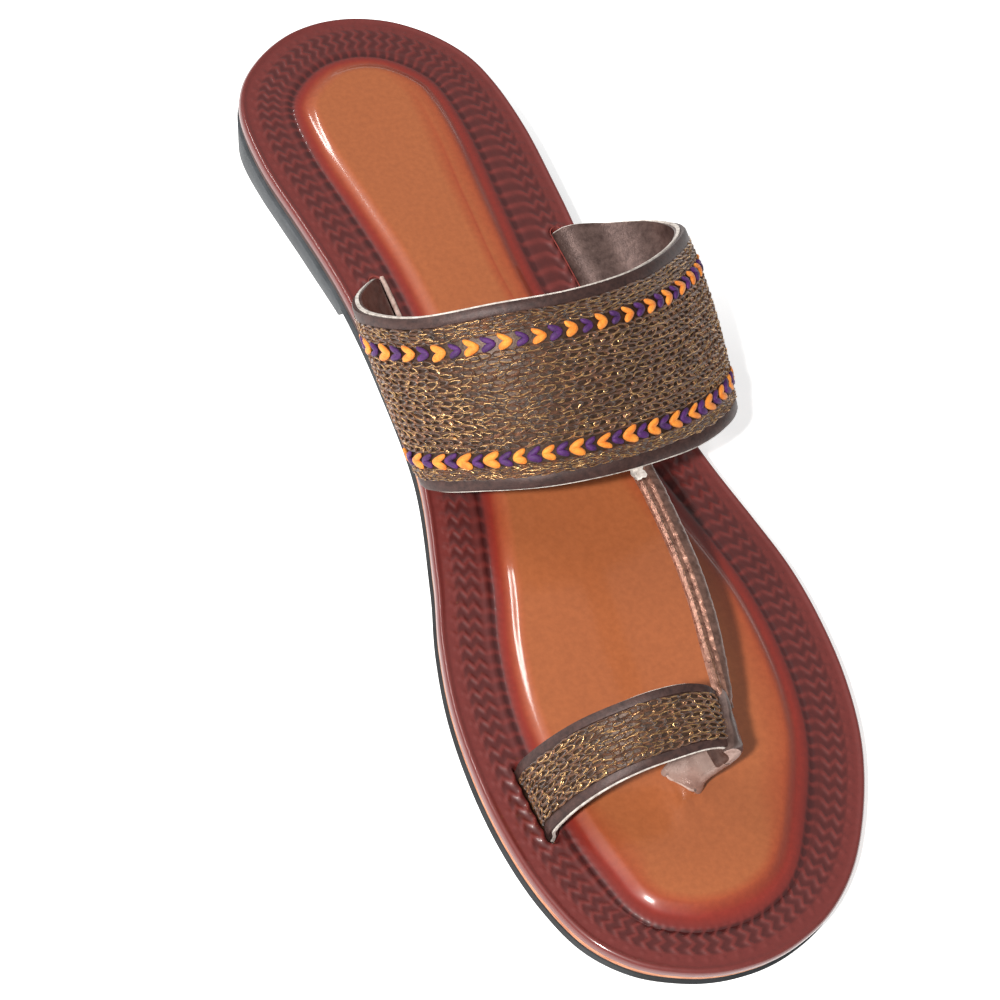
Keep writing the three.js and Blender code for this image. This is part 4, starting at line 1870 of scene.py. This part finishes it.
class InstepBand:
    """The wide band: shell, core, lining, stitched rows and two ribbons."""

    rows_along = 110
    shell_depth = 0.8
    binding_rise = 0.3
    sewn_ends = (0.045, 0.955)
    field_rows = (4, 14, 4)
    leaf_pitch = 6.5
    leaf_start = 0.04
    leaf_lean = 25.0
    leaf_lift = 0.5
    leaf_height = 0.55
    orange_leaf = (3.6, 2.0)
    purple_leaf = (3.2, 1.8)

    def __init__(self, shapes: StrapShapes, rng: random.Random) -> None:
        """Keep the surface.

        Args:
            shapes: Strap surfaces.
            rng: Seeded random source.
        """
        self.shapes = shapes
        self.surface = shapes.band
        self.sizes = shapes.sizes
        self.rng = rng

    def build(self, finishes: Finishes) -> list[Piece]:
        """Build all pieces.

        Args:
            finishes: Materials.

        Returns:
            The pieces.
        """
        return [*self._layers(finishes), *self._stitching(finishes), self._ribbons(finishes)]

    def _layers(self, finishes: Finishes) -> list[Piece]:
        """Build shell, core and lining.

        Args:
            finishes: Materials.

        Returns:
            The pieces.
        """
        width = self.surface.width
        ts = np.linspace(0, 1, self.rows_along)
        margin = self.sizes.margin
        marks = [0.0, 0.15, 0.5, margin - 0.3, margin - 0.05, margin + 0.25]
        inner = np.linspace(margin + 0.6, width - margin - 0.6, 34)
        across = np.array([*marks, *inner, *[width - m for m in marks[::-1]]]) / width
        edge = np.minimum(across, 1 - across) * width
        top = np.where(edge < margin, self.binding_rise, 0.0) - 0.28 * (1 - ease(edge / 0.5))
        top = top - 0.25 * np.exp(-(((edge - margin - 0.1) / 0.16) ** 2))
        wave = 0.16 * np.sin(ts * 31) * np.sin(ts * 13 + 1)
        offset = top[None, :] + wave[:, None] * np.exp(-edge / 8)[None, :]
        pieces = []
        shell = MeshParts()
        v, f, uv = wall(
            self.surface, ts, across, offset, -self.shell_depth, self.shapes.floor
        )
        cols = len(across)
        quad_col = f.min(axis=1) % cols
        is_margin = (quad_col < len(marks) - 2) | (quad_col > cols - len(marks))
        shell.add(v, f, uv, np.where(is_margin, 1, 0))
        materials = [finishes.base, finishes.margin]
        pieces.append(Piece("instep_band", shell, materials, "upper", Slot.STRAP))
        for name, top_at, low_at, reach, material in (
            ("band_core", -0.78, -1.62, 0.35, finishes.core),
            ("band_lining", -1.6, -self.sizes.wall, 0.05, finishes.lining),
        ):
            middle = np.linspace(0.01, 0.99, 24)
            ws = np.concatenate([[-reach / width], middle, [1 + reach / width]])
            part = MeshParts()
            part.add(*wall(self.surface, ts, ws, top_at, low_at, self.shapes.floor))
            pieces.append(Piece(name, part, [material], "upper", Slot.STRAP))
        return pieces

    def _stitching(self, finishes: Finishes) -> list[Piece]:
        """Sew the rows.

        Args:
            finishes: Materials.

        Returns:
            The thread and the gold strands.
        """
        s, width = self.sizes, self.surface.width
        low, high = (place * width for place in s.ribbons)
        half = s.ribbon / 2
        fields = (
            (s.margin + 0.1, low - half),
            (low + half, high - half),
            (high + half, width - s.margin),
        )
        stitches = Stitches(self.surface, StitchSizes(), self.rng)
        for (start, end), count in zip(fields, self.field_rows):
            pitch = (end - start) / count
            for k in range(count):
                place = (start + (k + 0.5) * pitch) / width
                stitches.row(place, *self.sewn_ends, pitch * 0.8)
        return [
            Piece("band_thread", stitches.thread, [finishes.thread], "upper", Slot.STRAP, 80),
            Piece("band_gold_strands", stitches.gold, [finishes.lurex], "upper", Slot.STRAP, 80),
        ]

    def _ribbons(self, finishes: Finishes) -> Piece:
        """Sew the two ribbons of leaning orange and purple stitches.

        Args:
            finishes: Materials.

        Returns:
            The piece.
        """
        parts = MeshParts()
        length, pitch = self.surface.length, self.leaf_pitch
        for place, heading in zip(self.sizes.ribbons, (1, -1)):
            count = int(length * (1 - 2 * self.leaf_start) / pitch)
            for k in range(count):
                centre = (self.leaf_start * length + (k + 0.5) * pitch) / length
                self._leaf(parts, centre, place, heading, *self.orange_leaf, 0)
                centre += heading * pitch / 2 / length
                self._leaf(parts, centre, place, heading, *self.purple_leaf, 1)
        materials = [finishes.orange, finishes.purple]
        return Piece("band_ribbons", parts, materials, "upper", Slot.STRAP, 80)

    def _leaf(
        self,
        parts: MeshParts,
        t: float,
        w: float,
        heading: int,
        length: float,
        thick: float,
        slot: int,
    ) -> None:
        """Sew one pair of leaning stitches that meet in a point.

        Args:
            parts: Where to add them.
            t: Share along.
            w: Share across.
            heading: 1 points to the outer side, -1 to the inner.
            length: Length of one stitch.
            thick: Width of one stitch.
            slot: Material index.
        """
        jitter = self.rng.uniform
        u = np.linspace(0, np.pi, 7)
        v = np.arange(8) / 8 * 2 * np.pi
        uu, vv = np.meshgrid(u, v, indexing="ij")
        long_half = length / 2 * jitter(0.82, 1.12)
        thick = thick * jitter(0.8, 1.12)
        w = w + jitter(-0.18, 0.18) / self.surface.width
        a = -np.cos(uu) * long_half
        body = np.sin(uu) ** 0.7
        b = body * np.cos(vv) * thick / 2
        c = body * np.sin(vv) * self.leaf_height + self.leaf_lift
        faces = grid_faces(7, 8, wrap=True)
        p, along, _, normal = self.surface.frame(t, w)
        side = np.cross(normal, along)
        for half in (-1, 1):
            lean = math.radians(self.leaf_lean) * jitter(0.85, 1.15)
            ca, sa = math.cos(lean), math.sin(lean)
            x = heading * (a * ca - b * sa * 0.4)
            y = half * (self.sizes.ribbon / 5.5 - a * sa * 0.9) + b * ca
            points = p + x[..., None] * along + y[..., None] * side + c[..., None] * normal
            parts.add(points, faces, slot=slot)


class ToeLoop:
    """The toe loop with its post, and the plain leather around its bend."""

    rows_along = 96
    shell_depth = 0.65
    binding_rise = 0.25
    stitch_rows = 8
    sewn_start = 0.075
    sleeve_marks = (0.0, 0.12, 0.35, 0.7, 1.2, 1.8, 2.6, 3.6, 5.0, 6.6)
    foot_lift = 0.45
    foot_corner = 1.1
    foot_radius = 0.3

    def __init__(self, shapes: StrapShapes, rng: random.Random) -> None:
        """Keep the surface.

        Args:
            shapes: Strap surfaces.
            rng: Seeded random source.
        """
        self.shapes = shapes
        self.surface = shapes.loop
        self.sizes = shapes.sizes
        self.rng = rng

    def build(self, finishes: Finishes) -> list[Piece]:
        """Build all pieces.

        Args:
            finishes: Materials.

        Returns:
            The pieces.
        """
        return [
            *self._layers(finishes),
            *self._stitching(finishes),
            self._sleeve(finishes),
            self._post_rim(finishes),
        ]

    def _layers(self, finishes: Finishes) -> list[Piece]:
        """Build shell, core and lining.

        Args:
            finishes: Materials.

        Returns:
            The pieces.
        """
        s, width = self.sizes, self.surface.width
        ts = np.linspace(0, 1, self.rows_along)
        marks = [0.0, 0.12, 0.4, s.loop_margin - 0.2, s.loop_margin, s.loop_margin + 0.25]
        inner = np.linspace(s.loop_margin + 0.6, width - s.loop_margin - 0.6, 12)
        across = np.array([*marks, *inner, *[width - m for m in marks[::-1]]]) / width
        edge = np.minimum(across, 1 - across) * width
        raised = np.where(edge < s.loop_margin, self.binding_rise, 0.0)
        top = raised - 0.22 * (1 - ease(edge / 0.4))
        field_part = (1 - ease((ts - s.loop_field) / 0.02))[:, None]
        offset = top[None, :] * field_part
        offset = offset + (0.12 - 0.3 * (1 - ease(edge / 0.5)))[None, :] * (1 - field_part)
        v, f, uv = wall(
            self.surface, ts, across, offset, -self.shell_depth, self.shapes.floor
        )
        cols = len(across)
        first = f.min(axis=1)
        col, row = first % cols, (first // cols) % len(ts)
        margin = (col < len(marks) - 2) | (col > cols - len(marks))
        slots = np.where(margin, 1, 0)
        slots = np.where(ts[row] > s.loop_field, 2, slots)
        shell = MeshParts()
        shell.add(v, f, uv, slots)
        materials = [finishes.base, finishes.margin, finishes.sleeve]
        pieces = [Piece("toe_loop", shell, materials, "upper", Slot.STRAP)]
        core = MeshParts()
        reach = 0.3 / width
        ws = np.concatenate([[-reach * 0.3], np.linspace(0.02, 0.98, 10), [1 + reach]])
        core_ts = ts[ts < s.loop_field + 0.01]
        core.add(*wall(self.surface, core_ts, ws, -0.62, -1.22, self.shapes.floor))
        pieces.append(Piece("loop_core", core, [finishes.core], "upper", Slot.STRAP))
        lining = MeshParts()
        ws = np.linspace(0, 1, 12)
        v, f, uv = wall(self.surface, ts, ws, -0.63, -s.loop_wall, self.shapes.floor)
        row = (f.min(axis=1) // len(ws)) % len(ts)
        # Past the sleeve the lining takes the lighter post copy, which is painted light.
        lining.add(v, f, uv, np.where(ts[row] > s.sleeve_end - 0.01, 1, 0))
        materials = [finishes.lining, finishes.post]
        pieces.append(Piece("loop_lining", lining, materials, "upper", Slot.STRAP))
        return pieces

    def _stitching(self, finishes: Finishes) -> list[Piece]:
        """Sew the rows of the toe loop.

        Args:
            finishes: Materials.

        Returns:
            The thread and the gold strands.
        """
        s, width = self.sizes, self.surface.width
        sizes = StitchSizes(length=2.7, spacing=2.1, thread=0.23, lift=0.2)
        stitches = Stitches(self.surface, sizes, self.rng)
        count = self.stitch_rows
        pitch = (width - 2 * s.loop_margin - 0.2) / count
        for k in range(count):
            w = (s.loop_margin + 0.1 + (k + 0.5) * pitch) / width
            stitches.row(w, self.sewn_start, s.loop_field - 0.012, pitch * 0.86)
        return [
            Piece("loop_thread", stitches.thread, [finishes.thread], "upper", Slot.STRAP, 80),
            Piece("loop_gold_strands", stitches.gold, [finishes.lurex], "upper", Slot.STRAP, 80),
        ]

    def _post_rim(self, finishes: Finishes) -> Piece:
        """Build the rounded edges of the post and the cut rim around its foot, both pale as
        painted highlight.

        Args:
            finishes: Materials.

        Returns:
            The piece.
        """
        s = self.sizes
        ts = np.linspace(s.sleeve_end, 0.955, 40)
        parts = MeshParts()
        for w in (0.0, 1.0):
            p, _, _, n = self.surface.frame(ts, np.full_like(ts, w))
            parts.add(*tube(p - n * s.loop_wall / 2, s.loop_wall * 0.56, 10, False))
        ts, ws = np.linspace(0.86, 0.99, 120), np.linspace(0.04, 0.98, 28)
        t, w = np.meshgrid(ts, ws, indexing="ij")
        p, _, _, n = self.surface.frame(t, w)
        face = p - n * (s.loop_wall + 0.1)
        sole = self.shapes.sole
        level = sole.cover_top(face[..., 1]) + sole.pad_rise + self.foot_lift
        level = level + self.foot_corner * (2 * w - 1) ** 6
        over = face[..., 2] - level
        foot = [np.interp(0.0, -over[:, k], ts) for k in range(len(ws))]
        p, _, _, n = self.surface.frame(np.array(foot), ws)
        parts.add(*tube(p - n * (s.loop_wall + 0.1), self.foot_radius, 8, False), slot=1)
        # Both are pale: the post copy is painted light and the rim is partly painted highlight.
        materials = [finishes.post, finishes.rim]
        return Piece("post_rims", parts, materials, "upper", Slot.STRAP, 80)

    def _sleeve(self, finishes: Finishes) -> Piece:
        """Build the plain leather folded round the bend, with its pale cut rims, pale partly as
        painted highlight.

        Args:
            finishes: Materials.

        Returns:
            The piece.
        """
        s, width = self.sizes, self.surface.width
        ts = np.linspace(s.sleeve_start, s.sleeve_end + s.sleeve_hang, 30)
        reach = s.sleeve_overhang
        across = np.array(self.sleeve_marks)
        whole = width + 2 * reach
        across = np.concatenate([across, [whole / 2], whole - across[::-1]])
        edge = np.minimum(across, whole - across)
        low, high = -s.loop_wall - s.sleeve_wall / 2, s.sleeve_wall + s.sleeve_swell
        middle, half = (high + low) / 2, (high - low) / 2
        body = half * np.sqrt(1 - (1 - np.clip((edge + 0.25) / 2.0, 0, 1)) ** 2)
        dent = 0.14 * np.sin(ts * 150)[:, None] * np.sin(across * 0.9)[None, :]
        ends = 0.35 * np.exp(-(np.minimum(ts - ts[0], ts[-1] - ts) / 0.004))[:, None]
        top = middle + body[None, :] + dent * (edge > 0.5) - ends
        bottom = middle - body[None, :] + ends
        ws = (across - reach) / width
        v, f, uv = wall(self.surface, ts, ws, top, np.broadcast_to(bottom, top.shape))
        cols = len(ws)
        col = f.min(axis=1) % cols
        # The rims are pale, partly as painted highlight.
        rim = (col == 0) | (col >= cols - 2)
        parts = MeshParts()
        parts.add(v, f, uv, np.where(rim, 1, 0))
        materials = [finishes.sleeve, finishes.rim]
        return Piece("loop_sleeve", parts, materials, "upper", Slot.STRAP)


class ConnectingStrap:
    """The narrow strap from band to toe loop, with its groove and edge stitches."""

    marks = (
        0, 0.03, 0.09, 0.18, 0.28, 0.4, 0.52, 0.6, 0.66, 0.7, 0.75, 0.82, 0.9, 0.97, 1,
    )
    rows_along = 150
    # Share across below which the strap takes the darker flank colour, which is painted shade.
    flank = 0.5
    flank_drop = 0.95
    flank_reach = 0.36
    groove_place = 0.68
    groove_depth = 0.3
    groove_reach = 0.035
    swell = 0.25
    stitch_pitch = 1.5
    stitch_place = 0.87
    sewn_span = (0.2, 0.74)
    scrap_across = (0.66, 1.22)
    scrap_thick = 0.18

    def __init__(self, shapes: StrapShapes, rng: random.Random) -> None:
        """Keep the surface.

        Args:
            shapes: Strap surfaces.
            rng: Seeded random source.
        """
        self.surface = shapes.link
        self.sizes = shapes.sizes
        self.rng = rng

    def build(self, finishes: Finishes) -> list[Piece]:
        """Build the strap, its stitches and the scrap of backing at its end.

        Args:
            finishes: Materials.

        Returns:
            The pieces.
        """
        return [self._strap(finishes), self._stitches(finishes), self._scrap(finishes)]

    def _strap(self, finishes: Finishes) -> Piece:
        """Build the strap, foil on top and darker on its outer flank, where the darker colour is
        painted shade.

        Args:
            finishes: Materials.

        Returns:
            The piece.
        """
        ts = np.linspace(0, 1, self.rows_along)
        ws = np.array(self.marks)
        t, w = np.meshgrid(ts, ws, indexing="ij")
        edge = np.minimum(w, 1 - w)
        flank = self.flank_drop * np.clip(1 - w / self.flank_reach, 0, 1) ** 2
        round_off = -0.6 * (1 - ease(edge / 0.12)) - flank
        from_groove = (w - self.groove_place) / self.groove_reach
        groove = -self.groove_depth * np.exp(-(from_groove**2))
        swell = self.swell * np.sin(np.pi * np.clip(w / 0.66, 0, 1))
        phases = [self.rng.uniform(0, 6.28) for _ in range(3)]
        crinkle = 0.09 * np.sin(t * 120 + phases[0] + 3 * w) * np.sin(t * 47 + phases[1])
        crinkle = crinkle + 0.05 * np.sin(t * 210 + 5 * w + phases[2])
        offset = round_off + groove + swell + crinkle * ease(edge / 0.1)
        v, f, uv = wall(self.surface, ts, ws, offset, -self.sizes.link_thick)
        col = f.min(axis=1) % len(ws)
        parts = MeshParts()
        # The flank's darker material is painted shade.
        parts.add(v, f, uv, np.where(ws[col] < self.flank, 1, 0))
        materials = [finishes.foil, finishes.flank]
        return Piece("connecting_strap", parts, materials, "upper", Slot.STRAP)

    def _stitches(self, finishes: Finishes) -> Piece:
        """Sew the row of small stitches along the strap's inner edge.

        Args:
            finishes: Materials.

        Returns:
            The piece.
        """
        parts = MeshParts()
        count = int(self.surface.length / self.stitch_pitch)
        path = np.array([[-0.5, 0, 0.0], [-0.25, 0, 0.16], [0.25, 0, 0.16], [0.5, 0, 0.0]])
        shape, faces = tube(path, 0.14, 5, False)
        start, span = self.sewn_span
        for k in range(count):
            share = start + span * (k + 0.5) / count
            p, along, across, normal = self.surface.frame(share, self.stitch_place)
            points = p + shape[:, :1] * along + shape[:, 1:2] * across + shape[:, 2:] * normal
            parts.add(points, faces)
        return Piece("strap_stitches", parts, [finishes.thread], "upper", Slot.STRAP)

    def _scrap(self, finishes: Finishes) -> Piece:
        """Build the torn scrap of backing that sticks out where the strap leaves the band.

        Args:
            finishes: Materials.

        Returns:
            The piece.
        """
        rows, cols = 9, 7
        low, high = self.scrap_across
        ts = np.linspace(self.sizes.scrap_start, self.sizes.scrap_end, rows)
        t, w = np.meshgrid(ts, np.linspace(low, high, cols), indexing="ij")
        p, _, across, normal = self.surface.frame(t, w)
        rough = np.array([self.rng.uniform(-1, 1) for _ in range(rows * cols)]).reshape(rows, cols)
        rim = np.minimum(np.minimum(w - low, high - w) * 6, 1)
        lift = 0.45 + 0.3 * rough * rim + 0.35 * np.sin(w * 11)
        p = p + normal * lift[..., None] + across * (0.3 * np.roll(rough, 3, 0))[..., None]
        both = np.stack([p, p - self.scrap_thick * normal])
        base = rows * cols
        grid = grid_faces(rows, cols)
        ring = np.concatenate([
            np.arange(cols), np.arange(1, rows) * cols + cols - 1,
            np.arange(cols - 2, -1, -1) + (rows - 1) * cols, np.arange(rows - 2, 0, -1) * cols,
        ])
        after = np.roll(ring, -1)
        side = np.stack([after, ring, ring + base, after + base], 1)
        parts = MeshParts()
        parts.add(both.reshape(-1, 3), np.vstack([grid, grid[:, ::-1] + base, side]))
        return Piece("backing_scrap", parts, [finishes.core], "upper", Slot.STRAP)


@dataclass(frozen=True)
class Lamp:
    """A rectangular light: direction, distance and sides in metres, power in watts."""

    name: str
    way: tuple
    distance: float
    sides: tuple
    power: float
    colour: tuple


class Studio:
    """Camera, lights and floor."""

    camera_place = (-211.7, -255.8, 448.3)
    camera_right = (0.916361, -0.336367, 0.217118)
    camera_up = (0.175322, 0.824705, 0.537702)
    camera_back = (-0.359923, -0.454664, 0.814700)
    lens = 89.4
    sensor = 36.0
    key = Lamp("key", (-0.512, -0.384, 0.768), 0.9, (0.045, 0.045), 8.6, (1.0, 0.98, 0.95))
    side = Lamp("side", (-0.6, 0.45, 0.66), 0.9, (0.6, 0.05), 3.0, (1.0, 0.99, 0.97))
    world_strength = 0.27
    floor_side = 4.0
    floor_glow = 0.62

    def build(self) -> None:
        """Make everything around the sandal."""
        self._camera()
        self._lights()
        self._floor()

    def _camera(self) -> None:
        """Place the camera at the photo's angle."""
        data = bpy.data.cameras.new("camera")
        data.lens = self.lens
        data.sensor_width = self.sensor
        data.clip_start, data.clip_end = 0.01, 20.0
        camera = bpy.data.objects.new("camera", data)
        axes = (self.camera_right, self.camera_up, self.camera_back)
        camera.matrix_world = Matrix.Translation(Vector(self.camera_place) * MM) @ Matrix(
            [[axis[k] for axis in axes] for k in range(3)]
        ).to_4x4()
        bpy.context.scene.collection.objects.link(camera)
        bpy.context.scene.camera = camera

    def _lights(self) -> None:
        """A small bright light beside the camera and a long narrow one from the inner side."""
        for lamp in (self.key, self.side):
            data = bpy.data.lights.new(lamp.name, "AREA")
            data.shape = "RECTANGLE"
            data.size, data.size_y = lamp.sides
            data.energy = lamp.power
            data.color = lamp.colour
            light = bpy.data.objects.new(lamp.name, data)
            direction = Vector(lamp.way).normalized()
            light.location = direction * lamp.distance
            light.rotation_mode = "QUATERNION"
            light.rotation_quaternion = direction.to_track_quat("Z", "Y")
            bpy.context.scene.collection.objects.link(light)
        world = bpy.data.worlds.new("world")
        world.use_nodes = True
        background = world.node_tree.nodes["Background"]
        background.inputs["Color"].default_value = (1, 1, 1, 1)
        background.inputs["Strength"].default_value = self.world_strength
        bpy.context.scene.world = world
        bpy.context.scene.view_settings.view_transform = "Standard"

    def _floor(self) -> None:
        """A white floor that stays white in the picture."""
        mesh = bpy.data.meshes.new("floor")
        side = self.floor_side
        corners = [(-side, -side, 0), (side, -side, 0), (side, side, 0), (-side, side, 0)]
        mesh.from_pydata(corners, [], [(0, 1, 2, 3)])
        floor = bpy.data.objects.new("floor", mesh)
        bpy.context.scene.collection.objects.link(floor)
        shader = Shader("floor_white")
        stops = [(0, (244, 244, 244)), (1, (250, 250, 250))]
        shader.colour(shader.ramp(shader.noise(40.0, 2), stops))
        shader.value(Roughness=0.9, Emission_Color=(1, 1, 1, 1), Emission_Strength=self.floor_glow)
        mesh.materials.append(shader.material)


class Sandal:
    """Puts the sandal together."""

    def __init__(self) -> None:
        """Work out all shapes."""
        self.sizes = SoleSizes()
        self.outline = Outline(self.sizes)
        self.shapes = StrapShapes(self.sizes, self.outline, StrapSizes())
        self.sole = Sole(self.sizes, self.outline, self.shapes)

    def build(self, finishes: Finishes) -> list[Piece]:
        """Build every piece in the order a maker would.

        Args:
            finishes: Materials.

        Returns:
            All pieces.
        """
        rng = random.Random(SEED)
        return [
            self.sole.outsole(finishes),
            self.sole.board(finishes),
            self.sole.cover(finishes),
            self.sole.lips(finishes),
            *InstepBand(self.shapes, rng).build(finishes),
            *ConnectingStrap(self.shapes, rng).build(finishes),
            *ToeLoop(self.shapes, rng).build(finishes),
        ]


def main() -> None:
    """Build the sandal and its studio, and report the pieces."""
    logging.basicConfig(level=logging.INFO, format="%(message)s")
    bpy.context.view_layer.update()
    Studio().build()
    pieces = Sandal().build(Finishes())
    log.info("%d pieces", len(pieces))


if __name__ == "__main__":
    main()
